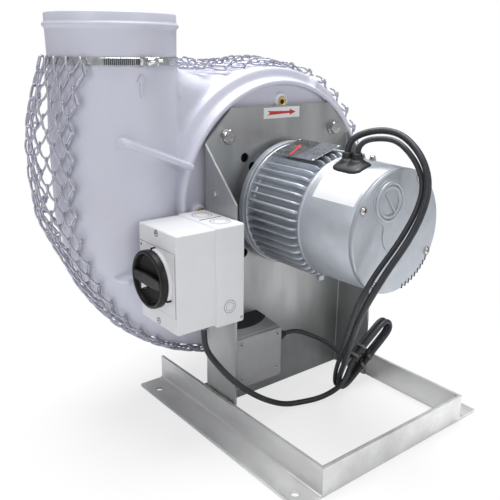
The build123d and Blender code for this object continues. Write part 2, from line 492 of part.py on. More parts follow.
blk -= cx(4.56, -207, XC + 30.3, KNOB_Y, KNOB_Z)
put("switch_contact_block", blk + box(-137.0, -135.0, KNOB_Y - 12, KNOB_Y + 12, KNOB_Z - 20, KNOB_Z + 20))
G0 = SB_Z0 - 22.0
gl = cz(8.5, SB_Z0 - 9, SB_Z0, GL_X, GL_Y) + cz(6.15, SB_Z0, SB_Z0 + 9, GL_X, GL_Y)
cone = Pos(GL_X, GL_Y, SB_Z0 - 9 - 6.5) * Cone(5.6, 8.0, 13)
gl = gl + cone
put("switch_gland", gl)

# ---------------------------------------------------------------- small control box on the sheet
prof = Plane.YZ * make_face(Polyline((0, CB_Z0), (-52.5, CB_Z0), (-52.5, CB_Z1 + 0.8), (0, CB_Z1 + 7), close=True))
cb = Pos(CB_X0, 0, 0) * ext(prof, (CB_X1 - CB_X0, 0, 0))
cb = fillet(cb.edges().filter_by(Axis.Y), 2.5)
hol = Plane.YZ * make_face(Polyline((-3, CB_Z0 + 3), (-53.5, CB_Z0 + 3), (-53.5, CB_Z1 - 2.4), (-3, CB_Z1 + 2.6), close=True))
cb -= Pos(CB_X0 + 3, 0, 0) * ext(hol, (CB_X1 - CB_X0 - 6, 0, 0))
CG_Y, CG_Z = -43.0, 108.0
for x in (-114.0, -51.0):
    for z in (68.8, 119.8):
        lugb = cy(6.6, -52.5, -30, x, z)
        cb += lugb
        cb -= cy(1.6, -53, -28, x, z)
cb -= cx(6.0, CB_X1 - 9, CB_X1 + 1, CG_Y, CG_Z)
# round recess in the rear of the sloping top for the rubber membrane
padc = cz(65.0, CB_Z1 - 10, CB_Z1 + 20, -83.0, 30.0) & box(CB_X0 + 1.2, CB_X1 - 0.6, -60, -0.0, CB_Z1 - 10, CB_Z1 + 20)
slab_t = Plane.YZ * make_face(Polyline((1, CB_Z1 + 5.6), (-52.5, CB_Z1 - 0.4), (-52.5, CB_Z1 + 1.0), (1, CB_Z1 + 7.2), close=True))
pad_s = padc & (Pos(CB_X0, 0, 0) * ext(slab_t, (CB_X1 - CB_X0, 0, 0)))
cb -= pad_s
put("control_box", cb)
put("control_box_pad", pad_s)
cl = box(CB_X0, CB_X1, CB_Y, -52.5, CB_Z0, CB_Z1)
cl = fillet(cl.edges().filter_by(Axis.Y), 3.0)
cl = fillet(cl.faces().sort_by(Axis.Y)[0].edges(), 1.5)
cbs = []
for x in (-114.0, -51.0):
    for z in (68.8, 119.8):
        cl -= cy(3.4, CB_Y - 1, CB_Y + 2.6, x, z)
        cl -= cy(1.6, CB_Y - 1, -52, x, z)
        k_ = cy(3.2, CB_Y - 0.2, CB_Y + 2.6, x, z) + cy(1.5, CB_Y + 2, -32, x, z)
        k_ -= Pos(x, CB_Y - 0.2, z) * Rot(90, 0, 0) * extrude(RegularPolygon(1.4, 6, major_radius=False), 1.8, both=True)
        cbs.append(k_)
put("control_box_lid", cl)
put("control_box_screws", group(cbs))
cg = cx(5.95, CB_X1 - 8, CB_X1, CG_Y, CG_Z) + cx(9.5, CB_X1, CB_X1 + 4, CG_Y, CG_Z)
cg += Pos(CB_X1 + 4 + 6.5, CG_Y, CG_Z) * Rot(0, 90, 0) * Cone(9.0, 4.4, 13)
CG_TIP = CB_X1 + 17
put("control_box_gland", cg)


# ---------------------------------------------------------------- cables, row frame
def cable(name, pts, dia):
    """round cable: straight runs joined by tangent arcs, as large as the runs allow"""
    P = [Vector(*p) for p in pts]
    runs = [(b - a).length for a, b in zip(P[:-1], P[1:])]
    radii = []
    for i in range(1, len(P) - 1):
        t = (P[i] - P[i - 1]).get_angle(P[i + 1] - P[i])
        radii.append(0.45 * min(runs[i - 1], runs[i]) / math.tan(math.radians(t) / 2))
    path = FilletPolyline(*P, radius=radii)
    pl = Plane(origin=P[0], z_dir=(P[1] - P[0]))
    solid = sweep(pl * Circle(dia / 2), path=path)
    L = path.length
    print(name, "length %.1f" % L, "runs %.0f..%.0f" % (min(runs), max(runs)),
          "radii", [round(r, 0) for r in radii],
          "volume ratio %.4f" % (solid.volume / (math.pi * dia * dia / 4 * L)))
    parts[name] = solid


ROUTE_POWER = [
    (-21.0, -80.0, 384.0), (-21.0, -80.0, 395.0), (-11.4, -88.5, 405.6), (3.2, -108.0, 411.8), (10.2, -131.0, 409.2),
    (10.5, -152.0, 398.0), (7.4, -171.0, 381.5), (3.4, -183.0, 359.8), (-4.6, -186.5, 336.2), (-11.9, -183.0, 312.2),
    (-23.2, -177.5, 288.5), (-43.6, -173.5, 264.5), (-59.2, -168.5, 239.8), (-60.5, -156.0, 213.8), (-39.2, -129.0, 180.8),
    (-10.4, -97.0, 141.8), (17.4, -65.0, 99.9), (35.0, -45.0, 70.0), (48.5, -26.5, 43.5), (56.0, -15.3, 22.0)]
ROUTE_CONTROL = [
    (-21.0, -96.0, 384.0), (-21.0, -96.0, 391.5), (-15.5, -102.0, 400.0), (-5.2, -114.5, 402.9), (2.1, -131.0, 402.2),
    (2.5, -149.0, 393.4), (6.2, -165.0, 375.1), (4.8, -175.0, 352.6), (-7.1, -177.5, 329.0), (-17.9, -173.5, 306.3),
    (-30.7, -167.5, 283.2), (-52.1, -163.5, 259.8), (-67.5, -159.0, 235.1), (-66.0, -146.5, 209.5), (-39.7, -118.3, 174.5),
    (-10.6, -84.5, 134.2), (18.1, -54.0, 97.7), (34.5, -33.5, 68.5), (49.0, -15.5, 42.0), (57.0, -6.4, 22.0)]
ROUTE_POWER_LOWER = [
    (84.5, -15.2, 42.5), (75.0, -18.5, 34.5), (63.5, -23.5, 26.0), (50.0, -26.0, 19.0), (34.0, -23.5, 11.5), (13.0, -17.0, 5.4), (-12.0, -8.5, 4.3),
    (-42.0, -3.0, 8.0), (-75.0, -3.5, 26.5), (-104.0, -8.5, 48.5), (-130.5, -11.5, 71.5), (-146.5, -4.0, 90.0), (-156.5, 10.0, 107.0),
    (-160.0, 24.0, 119.0), (-160.0, 30.0, 133.0), (-160.0, 30.0, 148.8)]
ROUTE_CONTROL_LOWER = [
    (CG_TIP, SHEET_Y + CG_Y, CG_Z), (-11.5, SHEET_Y + CG_Y, CG_Z), (4.5, 19.0, 103.5), (19.5, 15.5, 95.5), (37.5, 9.5, 85.5), (52.0, 4.0, 75.0), (63.5, -0.5, 63.0), (72.0, -3.7, 53.0), (80.0, -5.6, 46.8), (89.0, -6.1, 47.4)]

cable("motor_power_cable", ROUTE_POWER, D_POWER)
cable("motor_control_cable", ROUTE_CONTROL, D_CONTROL)
cable("power_cable_lower", ROUTE_POWER_LOWER, D_POWER)
cable("control_cable_lower", ROUTE_CONTROL_LOWER, D_CONTROL)

# hank: both cables folded back on themselves, one solid of the outer shape
HA, HB, HR = (69.0, 17.3), (157.0, 78.5), 17.0
d = math.hypot(HB[0] - HA[0], HB[1] - HA[1])
ang = math.degrees(math.atan2(HB[1] - HA[1], HB[0] - HA[0]))
hk = Plane.XZ * (Pos((HA[0] + HB[0]) / 2, (HA[1] + HB[1]) / 2) * Rot(0, 0, ang) * SlotCenterToCenter(d, 2 * HR))
hank = Pos(0, -2.8, 0) * ext(hk, (0, -16.2, 0))
hank = fillet(hank.edges(), 3.0)
hank = hank.cut(*[parts[n] for n in ("motor_power_cable", "motor_control_cable", "power_cable_lower", "control_cable_lower")])
hank = sorted(hank.solids(), key=lambda q: -q.volume)[0]
put("cable_hank", hank, shift=False)
ties = []
for t in (38.0, 56.0):
    cxp, czp = HA[0] + (HB[0] - HA[0]) * t / d, HA[1] + (HB[1] - HA[1]) * t / d
    o = Plane.XY * RectangleRounded(2 * HR + 3.2, 16.2 + 3.2, 4.5)
    i_ = Plane.XY * RectangleRounded(2 * HR + 0.2, 16.2 + 0.2, 3.0)
    b = Pos(0, 0, -2.3) * extrude(o - i_, 4.6) + Pos(5, -10.6, 0) * Box(7.0, 4.6, 5.5)
    b = Rot(0, 90, 0) * b          # band's axis along +X
    b = Pos(cxp, -10.9, czp) * Rot(0, -ang, 0) * b
    ties.append(b)
put("cable_ties", group(ties), shift=False)

# ---------------------------------------------------------------- write
os.makedirs("parts", exist_ok=True)
for n, s_ in parts.items():
    export_step(s_, "parts/%s.step" % n)
print(len(parts), "nodes")
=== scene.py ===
import bpy, bmesh, math, random
from mathutils import Vector, Matrix, noise


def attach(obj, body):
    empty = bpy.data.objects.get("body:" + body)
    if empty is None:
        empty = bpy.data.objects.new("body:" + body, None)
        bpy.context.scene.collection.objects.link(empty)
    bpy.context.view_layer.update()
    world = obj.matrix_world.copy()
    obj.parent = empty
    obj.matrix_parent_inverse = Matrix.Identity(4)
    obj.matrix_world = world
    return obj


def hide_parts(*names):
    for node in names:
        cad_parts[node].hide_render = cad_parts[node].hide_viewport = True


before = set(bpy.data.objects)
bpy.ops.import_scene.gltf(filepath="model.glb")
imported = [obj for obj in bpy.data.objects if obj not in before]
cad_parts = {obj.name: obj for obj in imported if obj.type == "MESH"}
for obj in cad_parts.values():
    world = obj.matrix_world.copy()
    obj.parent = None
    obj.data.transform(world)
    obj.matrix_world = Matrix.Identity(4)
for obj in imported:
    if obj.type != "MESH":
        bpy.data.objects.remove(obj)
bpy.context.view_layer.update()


MM = 0.001
SY = 64.0      # front face of the pedestal sheet, mm, row frame
AZ = 294.5     # fan and motor axis height
rnd = random.Random(7)
scene = bpy.context.scene

# ------------------------------------------------------------------ camera
cam_d = bpy.data.cameras.new("camera")
cam_d.lens, cam_d.sensor_width, cam_d.sensor_fit = 46.575, 36.0, "HORIZONTAL"
cam_d.clip_start, cam_d.clip_end = 0.01, 50.0
cam = bpy.data.objects.new("camera", cam_d)
scene.collection.objects.link(cam)
az, el, roll = math.radians(-38.65), math.radians(17.44), math.radians(0.63)
fwd = Vector((-math.sin(az) * math.cos(el), math.cos(az) * math.cos(el), -math.sin(el)))
right = Vector((math.cos(az), math.sin(az), 0.0))
up = right.cross(fwd)
r2 = right * math.cos(roll) + up * math.sin(roll)
u2 = up * math.cos(roll) - right * math.sin(roll)
cam.matrix_world = Matrix(((r2.x, u2.x, -fwd.x, -0.60215), (r2.y, u2.y, -fwd.y, -0.61842), (r2.z, u2.z, -fwd.z, 0.50404), (0, 0, 0, 1)))
scene.camera = cam


# ------------------------------------------------------------------ materials
def mat(name, col, rough=0.45, metal=0.0, var=0.05, vscale=25.0, rvar=0.06, grain=0.1, gscale=1800.0, stretch=(1, 1, 1),
        gstretch=(1, 1, 1), coat=0.0, sss=0.0, spec=0.5, spots=None, bdist=0.0002):
    """procedural surface: large cloudy tone, fine grain in the bump, uneven gloss"""
    m = bpy.data.materials.new(name)
    m.use_nodes = True
    nt = m.node_tree
    N, L = nt.nodes, nt.links
    b = N["Principled BSDF"]
    b.inputs["Metallic"].default_value = metal
    b.inputs["Coat Weight"].default_value = coat
    b.inputs["Specular IOR Level"].default_value = spec
    if sss:
        b.inputs["Subsurface Weight"].default_value = sss
        b.inputs["Subsurface Radius"].default_value = (0.004, 0.004, 0.004)
        b.inputs["Subsurface Scale"].default_value = 1.0
    tc = N.new("ShaderNodeTexCoord")
    mp = N.new("ShaderNodeMapping")
    mp.inputs["Scale"].default_value = stretch
    L.new(tc.outputs["Object"], mp.inputs["Vector"])
    n1 = N.new("ShaderNodeTexNoise")
    n1.inputs["Scale"].default_value = vscale
    n1.inputs["Detail"].default_value = 6.0
    n1.inputs["Roughness"].default_value = 0.6
    L.new(mp.outputs["Vector"], n1.inputs["Vector"])
    cr = N.new("ShaderNodeValToRGB")
    lo = [max(0.0, c * (1 - 2.2 * var)) for c in col]
    hi = [min(1.0, c * (1 + 2.2 * var)) for c in col]
    cr.color_ramp.elements[0].position, cr.color_ramp.elements[1].position = 0.28, 0.72
    cr.color_ramp.elements[0].color = (*lo, 1)
    cr.color_ramp.elements[1].color = (*hi, 1)
    L.new(n1.outputs["Fac"], cr.inputs["Fac"])
    out = cr.outputs["Color"]
    if spots:
        sc, amount, scol = spots
        v = N.new("ShaderNodeTexNoise")
        v.inputs["Scale"].default_value = sc
        v.inputs["Detail"].default_value = 9.0
        v.inputs["Roughness"].default_value = 0.7
        L.new(mp.outputs["Vector"], v.inputs["Vector"])
        r = N.new("ShaderNodeValToRGB")
        r.color_ramp.elements[0].position, r.color_ramp.elements[1].position = 0.56, 0.74
        r.color_ramp.elements[0].color = (0, 0, 0, 1)
        r.color_ramp.elements[1].color = (amount, amount, amount, 1)
        L.new(v.outputs["Fac"], r.inputs["Fac"])
        mx = N.new("ShaderNodeMix")
        mx.data_type = "RGBA"
        mx.inputs["B"].default_value = (*scol, 1)
        L.new(r.outputs["Color"], mx.inputs["Factor"])
        L.new(out, mx.inputs["A"])
        out = mx.outputs["Result"]
    L.new(out, b.inputs["Base Color"])
    n2 = N.new("ShaderNodeTexNoise")
    n2.inputs["Scale"].default_value = vscale * 3.1
    n2.inputs["Detail"].default_value = 8.0
    L.new(mp.outputs["Vector"], n2.inputs["Vector"])
    mr = N.new("ShaderNodeMapRange")
    mr.inputs["From Min"].default_value, mr.inputs["From Max"].default_value = 0.3, 0.7
    mr.inputs["To Min"].default_value, mr.inputs["To Max"].default_value = max(0.02, rough - rvar), min(1.0, rough + rvar)
    L.new(n2.outputs["Fac"], mr.inputs["Value"])
    L.new(mr.outputs["Result"], b.inputs["Roughness"])
    mp2 = N.new("ShaderNodeMapping")
    mp2.inputs["Scale"].default_value = gstretch
    L.new(tc.outputs["Object"], mp2.inputs["Vector"])
    n3 = N.new("ShaderNodeTexNoise")
    n3.inputs["Scale"].default_value = gscale
    n3.inputs["Detail"].default_value = 3.0
    L.new(mp2.outputs["Vector"], n3.inputs["Vector"])
    bp = N.new("ShaderNodeBump")
    bp.inputs["Strength"].default_value = grain
    bp.inputs["Distance"].default_value = bdist
    L.new(n3.outputs["Fac"], bp.inputs["Height"])
    bp2 = N.new("ShaderNodeBump")
    bp2.inputs["Strength"].default_value = 0.25
    bp2.inputs["Distance"].default_value = bdist * 1.5
    L.new(n2.outputs["Fac"], bp2.inputs["Height"])
    L.new(bp.outputs["Normal"], bp2.inputs["Normal"])
    L.new(bp2.outputs["Normal"], b.inputs["Normal"])
    return m


M = {
    "casing": mat("casing_plastic", (0.60, 0.605, 0.695), 0.36, 0.0, 0.02, 9, 0.05, 0.05, 900, sss=0.06, bdist=0.0003),
    # inside: the casing plastic painted darker, as painted shade on the inner wall
    "inside": mat("casing_inside_painted_shade", (0.50, 0.50, 0.56), 0.55, 0.0, 0.04, 9, 0.05, 0.05, 900),
    "zinc": mat("zinc_sheet", (0.40, 0.405, 0.405), 0.40, 0.85, 0.09, 11, 0.08, 0.05, 1400, stretch=(1.2, 1.2, 0.35), gstretch=(1, 1, 0.12), spots=(7, 0.25, (0.62, 0.64, 0.66))),
    "rail": mat("rail_steel", (0.72, 0.72, 0.715), 0.38, 0.7, 0.09, 16, 0.09, 0.08, 1300, stretch=(1, 0.35, 1), spots=(30, 0.3, (0.68, 0.69, 0.69))),
    "weld": mat("weld_steel", (0.36, 0.35, 0.33), 0.5, 0.8, 0.25, 160, 0.15, 0.6, 700, spots=(220, 0.6, (0.75, 0.75, 0.74))),
    "alu": mat("cast_aluminium", (0.49, 0.52, 0.565), 0.42, 0.6, 0.05, 22, 0.08, 0.22, 2400, spots=(26, 0.22, (0.36, 0.38, 0.42))),
    # near-black aluminium: painted shade for recess floors and between thread ribs
    "alu_deep_shade": mat("cast_aluminium_painted_deep_shade", (0.085, 0.09, 0.10), 0.55, 0.4, 0.08, 30, 0.08, 0.25, 2400),
    # darker aluminium: painted shade in the screw wells
    "alu_well_shade": mat("cast_aluminium_painted_well_shade", (0.36, 0.38, 0.41), 0.5, 0.6, 0.08, 30, 0.08, 0.25, 2400),
    "boxalu": mat("box_aluminium", (0.36, 0.36, 0.365), 0.5, 0.3, 0.04, 30, 0.05, 0.25, 2600),
    "steel": mat("bright_steel", (0.56, 0.55, 0.54), 0.24, 1.0, 0.03, 35, 0.05, 0.02, 900, gstretch=(1, 0.2, 1)),
    "clamp": mat("clamp_steel", (0.72, 0.73, 0.74), 0.2, 1.0, 0.06, 60, 0.06, 0.05, 2500, gstretch=(1, 1, 0.1)),
    "wire": mat("galvanised_wire", (0.50, 0.50, 0.57), 0.40, 0.7, 0.12, 140, 0.1, 0.2, 2500),
    "brass": mat("brass", (0.72, 0.52, 0.20), 0.3, 1.0, 0.1, 80, 0.08, 0.1, 2500),
    "white": mat("white_plastic", (0.68, 0.683, 0.70), 0.38, 0.0, 0.012, 30, 0.04, 0.12, 2600, spec=0.45),
    "black": mat("black_plastic", (0.0075, 0.007, 0.0075), 0.42, 0.0, 0.12, 60, 0.08, 0.12, 2400, spec=0.28),
    "rubber": mat("black_rubber", (0.014, 0.015, 0.018), 0.5, 0.0, 0.15, 90, 0.08, 0.2, 2000),
    "cable": mat("cable_sheath", (0.021, 0.023, 0.028), 0.46, 0.0, 0.15, 70, 0.08, 0.15, 2600),
    # grey: real grey plastic of the gland, also painted shade in screw wells, grooves and recesses on the white box
    "grey": mat("grey_plastic", (0.16, 0.165, 0.17), 0.5, 0.0, 0.08, 60, 0.06, 0.15, 2400),
    "dark": mat("dark_plastic", (0.028, 0.029, 0.032), 0.5, 0.0, 0.12, 40, 0.08, 0.15, 2000),
    "hole": mat("deep_shadow", (0.006, 0.006, 0.007), 0.8, 0.0, 0.1, 60, 0.05, 0.1, 2000),
    "label": mat("white_label", (0.76, 0.76, 0.775), 0.32, 0.0, 0.01, 40, 0.03, 0.05, 2500),
    "foil": mat("nameplate_foil", (0.085, 0.088, 0.095), 0.28, 0.5, 0.35, 75, 0.1, 0.1, 2000, spots=(60, 0.55, (0.36, 0.37, 0.39))),
    "foil_m": mat("nameplate_field", (0.16, 0.17, 0.195), 0.3, 0.45, 0.12, 60, 0.1, 0.1, 2000, spots=(45, 0.3, (0.3, 0.31, 0.34))),
    "foil_d": mat("nameplate_dark", (0.05, 0.05, 0.055), 0.3, 0.4, 0.4, 110, 0.1, 0.1, 2000, spots=(160, 0.6, (0.34, 0.35, 0.37))),
    "foil_l": mat("nameplate_edge", (0.42, 0.43, 0.45), 0.3, 0.8, 0.1, 75, 0.1, 0.1, 2000),
    "red": mat("red_ink", (0.50, 0.030, 0.018), 0.35, 0.0, 0.06, 90, 0.05, 0.05, 2500),
    "ink": mat("dark_ink", (0.05, 0.04, 0.04), 0.4, 0.0, 0.06, 90, 0.05, 0.05, 2500),
    "tie": mat("tie_plastic", (0.13, 0.122, 0.11), 0.4, 0.0, 0.1, 90, 0.05, 0.15, 2500),
    "copper": mat("copper_winding", (0.45, 0.16, 0.06), 0.35, 0.9, 0.2, 220, 0.1, 0.4, 1200),
    "lam": mat("lamination_steel", (0.16, 0.16, 0.17), 0.45, 0.8, 0.1, 90, 0.1, 0.3, 900, gstretch=(0.1, 3, 0.1)),
    "board": mat("circuit_board", (0.02, 0.16, 0.06), 0.35, 0.0, 0.2, 160, 0.1, 0.15, 2000),
}
CAD_MAT = {
    "rail_left": "rail", "rail_right": "rail", "front_cross_member": "rail", "weld_beads": "weld", "pedestal_sheet": "zinc",
    "casing_bolts": "steel", "casing_washers": "steel", "direction_sticker": "label", "volute_casing": "casing", "casing_inserts": "brass",
    "clamp_band": "clamp", "clamp_housing": "clamp", "clamp_screw": "steel", "guard_mesh": "wire", "drive_end_shield": "alu",
    "stator_housing": "alu", "electronics_housing": "alu", "end_cap": "alu", "end_cap_screws": "steel", "end_cap_plug": "alu",
    "motor_nameplate": "foil", "motor_label": "label", "cable_boot": "rubber", "boot_screws": "steel", "switch_base": "white",
    "switch_lid": "white", "switch_lid_screws": "grey", "switch_label_plate": "white", "switch_collar": "white", "switch_knob": "black",
    "switch_gland": "grey", "control_box": "boxalu", "control_box_lid": "boxalu", "control_box_screws": "steel", "control_box_pad": "rubber",
    "control_box_gland": "rubber", "motor_power_cable": "cable", "motor_control_cable": "cable", "cable_hank": "cable", "cable_ties": "tie",
    "power_cable_lower": "cable", "control_cable_lower": "cable", "back_cover_disc": "dark", "shaft_seal": "rubber", "impeller": "dark",
    "impeller_hub": "alu", "hub_nut": "steel", "motor_shaft": "steel", "shaft_key": "steel", "rotor_core": "lam", "bearing_drive_end": "steel",
    "bearing_rear_end": "steel", "stator_core": "lam", "stator_windings": "copper", "motor_bolts": "steel", "control_electronics": "board",
    "inlet_cone": "casing", "inlet_screws": "steel", "switch_spindle": "black", "switch_contact_block": "grey"}
for n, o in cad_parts.items():
    o.data.materials.clear()
    o.data.materials.append(M[CAD_MAT[n]])


# ------------------------------------------------------------------ helpers (all sizes in mm, row frame)
def add(name, verts, faces, m, body="frame", sharp=35.0, replaces=(), bevel=0.0, seg=3, slot=None):
    me = bpy.data.meshes.new(name)
    me.from_pydata([Vector(v) * MM for v in verts], [], faces)
    me.validate()
    bm = bmesh.new()
    bm.from_mesh(me)
    bmesh.ops.remove_doubles(bm, verts=bm.verts, dist=1e-6)
    bmesh.ops.recalc_face_normals(bm, faces=bm.faces)
    bm.to_mesh(me)
    bm.free()
    o = bpy.data.objects.new(name, me)
    scene.collection.objects.link(o)
    return dress(o, m, body, sharp, replaces, bevel, seg)


def dress(o, m, body="frame", sharp=35.0, replaces=(), bevel=0.0, seg=3):
    o.data.materials.clear()
    o.data.materials.append(M[m])
    for p in o.data.polygons:
        p.use_smooth = True
    if bevel:
        b = o.modifiers.new("edge", "BEVEL")
        b.width, b.segments, b.limit_method, b.angle_limit = bevel * MM, seg, "ANGLE", math.radians(32)
        b.harden_normals = False
        try:
            w = o.modifiers.new("norm", "WEIGHTED_NORMAL")
            w.keep_sharp = True
        except Exception:
            pass
    elif sharp:
        o.data.set_sharp_from_angle(angle=math.radians(sharp))
    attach(o, body)
    if replaces:
        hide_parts(*replaces)
    return o


def lathe(name, prof, m, axis="y", c=(0.0, AZ), seg=128, shift=SY, closed=True, **kw):
    """turned piece; prof is (radius, along); axis y: c is (x, z); z: c is (x, y); x: c is (y, z)"""
    V, F = [], []
    n = len(prof)
    for i in range(seg):
        a = 2 * math.pi * i / seg
        ca, sa = math.cos(a), math.sin(a)
        for r, t in prof:
            if axis == "y":
                V.append((c[0] + r * ca, t + shift, c[1] + r * sa))
            elif axis == "z":
                V.append((c[0] + r * ca, c[1] + r * sa, t))
            else:
                V.append((t, c[0] + r * ca, c[1] + r * sa))
    rng = range(n) if closed else range(n - 1)
    for i in range(seg):
        for j in rng:
            a, b = i * n + j, i * n + (j + 1) % n
            c2, d = ((i + 1) % seg) * n + (j + 1) % n, ((i + 1) % seg) * n + j
            F.append((a, b, c2, d))
    return add(name, V, F, m, **kw)


def prism(name, pts, axis, t0, t1, m, **kw):
    """polygon pts drawn in the plane across axis, from t0 to t1; y: (x, z); z: (x, y); x: (y, z)"""
    V = []
    for t in (t0, t1):
        for p in pts:
            V.append({"y": (p[0], t, p[1]), "z": (p[0], p[1], t), "x": (t, p[0], p[1])}[axis])
    n = len(pts)
    F = [tuple(range(n)), tuple(range(2 * n - 1, n - 1, -1))] + [(i, (i + 1) % n, n + (i + 1) % n, n + i) for i in range(n)]
    return add(name, V, F, m, **kw)


def rbox(name, x0, x1, y0, y1, z0, z1, m, bevel=1.0, **kw):
    V = [(x, y, z) for x in (x0, x1) for y in (y0, y1) for z in (z0, z1)]
    F = [(0, 1, 3, 2), (4, 6, 7, 5), (0, 4, 5, 1), (2, 3, 7, 6), (0, 2, 6, 4), (1, 5, 7, 3)]
    return add(name, V, F, m, bevel=bevel, **kw)


def ngon(cx, cz, r, n, a0=0.0):
    return [(cx + r * math.cos(math.radians(a0) + 2 * math.pi * i / n), cz + r * math.sin(math.radians(a0) + 2 * math.pi * i / n)) for i in range(n)]


def rrect(x0, x1, z0, z1, r, n=6):
    P = []
    for cx, cz, a in ((x1 - r, z1 - r, 0), (x0 + r, z1 - r, 90), (x0 + r, z0 + r, 180), (x1 - r, z0 + r, 270)):
        for i in range(n + 1):
            t = math.radians(a + 90 * i / n)
            P.append((cx + r * math.cos(t), cz + r * math.sin(t)))
    return P


def pol(r, a, z=AZ):
    return r * math.cos(math.radians(a)), z + r * math.sin(math.radians(a))


def join(name, objs):
    """one object from several, with all their materials"""
    dg = bpy.context.evaluated_depsgraph_get()
    bm = bmesh.new()
    mats = []
    for o in objs:
        e = o.evaluated_get(dg)
        me = bpy.data.meshes.new_from_object(e)
        k0 = len(bm.faces)
        bm.from_mesh(me)
        bm.faces.ensure_lookup_table()
        idx = []
        for mm in me.materials:
            if mm not in mats:
                mats.append(mm)
            idx.append(mats.index(mm))
        for f in bm.faces[k0:]:
            f.material_index = idx[f.material_index] if idx else 0
        bpy.data.meshes.remove(me)
    me = bpy.data.meshes.new(name)
    bm.to_mesh(me)
    bm.free()
    for mm in mats:
        me.materials.append(mm)
    o = bpy.data.objects.new(name, me)
    scene.collection.objects.link(o)
    for q in objs:
        bpy.data.objects.remove(q, do_unlink=True)
    return o


# ------------------------------------------------------------------ cables
ROUTE_POWER = [
    (-21.0, -80.0, 384.0), (-21.0, -80.0, 395.0), (-11.4, -88.5, 405.6), (3.2, -108.0, 411.8), (10.2, -131.0, 409.2),
    (10.5, -152.0, 398.0), (7.4, -171.0, 381.5), (3.4, -183.0, 359.8), (-4.6, -186.5, 336.2), (-11.9, -183.0, 312.2),
    (-23.2, -177.5, 288.5), (-43.6, -173.5, 264.5), (-59.2, -168.5, 239.8), (-60.5, -156.0, 213.8), (-39.2, -129.0, 180.8),
    (-10.4, -97.0, 141.8), (17.4, -65.0, 99.9), (35.0, -45.0, 70.0), (48.5, -26.5, 43.5), (56.0, -15.3, 22.0)]
ROUTE_CONTROL = [
    (-21.0, -96.0, 384.0), (-21.0, -96.0, 391.5), (-15.5, -102.0, 400.0), (-5.2, -114.5, 402.9), (2.1, -131.0, 402.2),
    (2.5, -149.0, 393.4), (6.2, -165.0, 375.1), (4.8, -175.0, 352.6), (-7.1, -177.5, 329.0), (-17.9, -173.5, 306.3),
    (-30.7, -167.5, 283.2), (-52.1, -163.5, 259.8), (-67.5, -159.0, 235.1), (-66.0, -146.5, 209.5), (-39.7, -118.3, 174.5),
    (-10.6, -84.5, 134.2), (18.1, -54.0, 97.7), (34.5, -33.5, 68.5), (49.0, -15.5, 42.0), (57.0, -6.4, 22.0)]
ROUTE_POWER_LOWER = [
    (84.5, -15.2, 42.5), (75.0, -18.5, 34.5), (63.5, -23.5, 26.0), (50.0, -26.0, 19.0), (34.0, -23.5, 11.5), (13.0, -17.0, 5.4), (-12.0, -8.5, 4.3),
    (-42.0, -3.0, 8.0), (-75.0, -3.5, 26.5), (-104.0, -8.5, 48.5), (-130.5, -11.5, 71.5), (-146.5, -4.0, 90.0), (-156.5, 10.0, 107.0),
    (-160.0, 24.0, 119.0), (-160.0, 30.0, 133.0), (-160.0, 30.0, 148.8)]
ROUTE_CONTROL_LOWER = [
    (-25.5, 21.0, 108.0), (-11.5, 21.0, 108.0), (4.5, 19.0, 103.5), (19.5, 15.5, 95.5), (37.5, 9.5, 85.5), (52.0, 4.0, 75.0), (63.5, -0.5, 63.0),
    (72.0, -3.7, 53.0), (80.0, -5.6, 46.8), (89.0, -6.1, 47.4)]
FOLD_POWER = [
    (58.5, -15.0, 10.0), (66.5, -15.0, 5.4), (78.3, -15.0, 8.4), (101.0, -15.0, 24.0), (127.3, -15.0, 42.4), (151.9, -15.0, 59.5), (165.4, -15.0, 69.4),
    (169.8, -15.0, 77.0), (167.4, -15.0, 86.3), (159.0, -15.0, 91.0), (149.1, -15.0, 88.6), (127.3, -15.0, 73.3), (102.5, -15.0, 56.3)]
FOLD_CONTROL = [
    (58.4, -6.2, 9.6), (66.5, -6.2, 4.6), (78.3, -6.2, 7.6), (101.0, -6.2, 23.2), (127.3, -6.2, 41.9), (151.9, -6.2, 58.8), (166.0, -6.2, 68.8),
    (170.5, -6.2, 76.8), (168.0, -6.2, 86.6), (159.3, -6.2, 91.6), (149.1, -6.2, 89.2), (127.3, -6.2, 74.0), (105.0, -6.2, 58.6)]


def cable(name, pts, dia, m, replaces):
    cu = bpy.data.curves.new(name, "CURVE")
    cu.dimensions = "3D"
    sp = cu.splines.new("NURBS")
    sp.points.add(len(pts) - 1)
    for q, p in zip(sp.points, pts):
        q.co = (p[0] * MM, p[1] * MM, p[2] * MM, 1.0)
        q.radius = dia / 2 * MM
    sp.order_u = 3
    sp.use_endpoint_u = True
    sp.resolution_u = 12
    cu.bevel_depth = 1.0
    cu.bevel_resolution = 8
    cu.use_fill_caps = True
    cu.materials.append(M[m])
    o = bpy.data.objects.new(name, cu)
    scene.collection.objects.link(o)
    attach(o, "frame")
    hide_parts(*replaces)
    dg = bpy.context.evaluated_depsgraph_get()
    cu.bevel_depth = 0.0
    dg.update()
    me = bpy.data.meshes.new_from_object(o.evaluated_get(bpy.context.evaluated_depsgraph_get()))
    bpy.data.meshes.remove(me)
    cu.bevel_depth = 1.0
    return o


power = cable("power_cord", ROUTE_POWER + FOLD_POWER + ROUTE_POWER_LOWER, 8.0, "cable", ("motor_power_cable", "power_cable_lower", "cable_hank"))
control = cable("control_cord", ROUTE_CONTROL + FOLD_CONTROL + ROUTE_CONTROL_LOWER[::-1], 6.5, "cable", ("motor_control_cable", "control_cable_lower"))

# ------------------------------------------------------------------ casing
VOL = [(100, 189, 68), (70, 187, 68), (40, 186, 68), (10, 187, 69), (-20, 193, 70), (-50, 205, 72),
       (-80, 223, 75), (-110, 245, 78), (-135, 264, 80), (-158, 281, 82), (-180, 296, 83)]
DUCT = [(294.5, -213.0, 83), (320.0, -213.0, 83), (370.0, -213.0, 83), (400.0, -213.0, 83), (425.0, -212.6, 82.2), (450.0, -211.8, 81), (470.0, -211.2, 80.0), (490.0, -211.0, 79.3)]
YC = 86.0 + SY


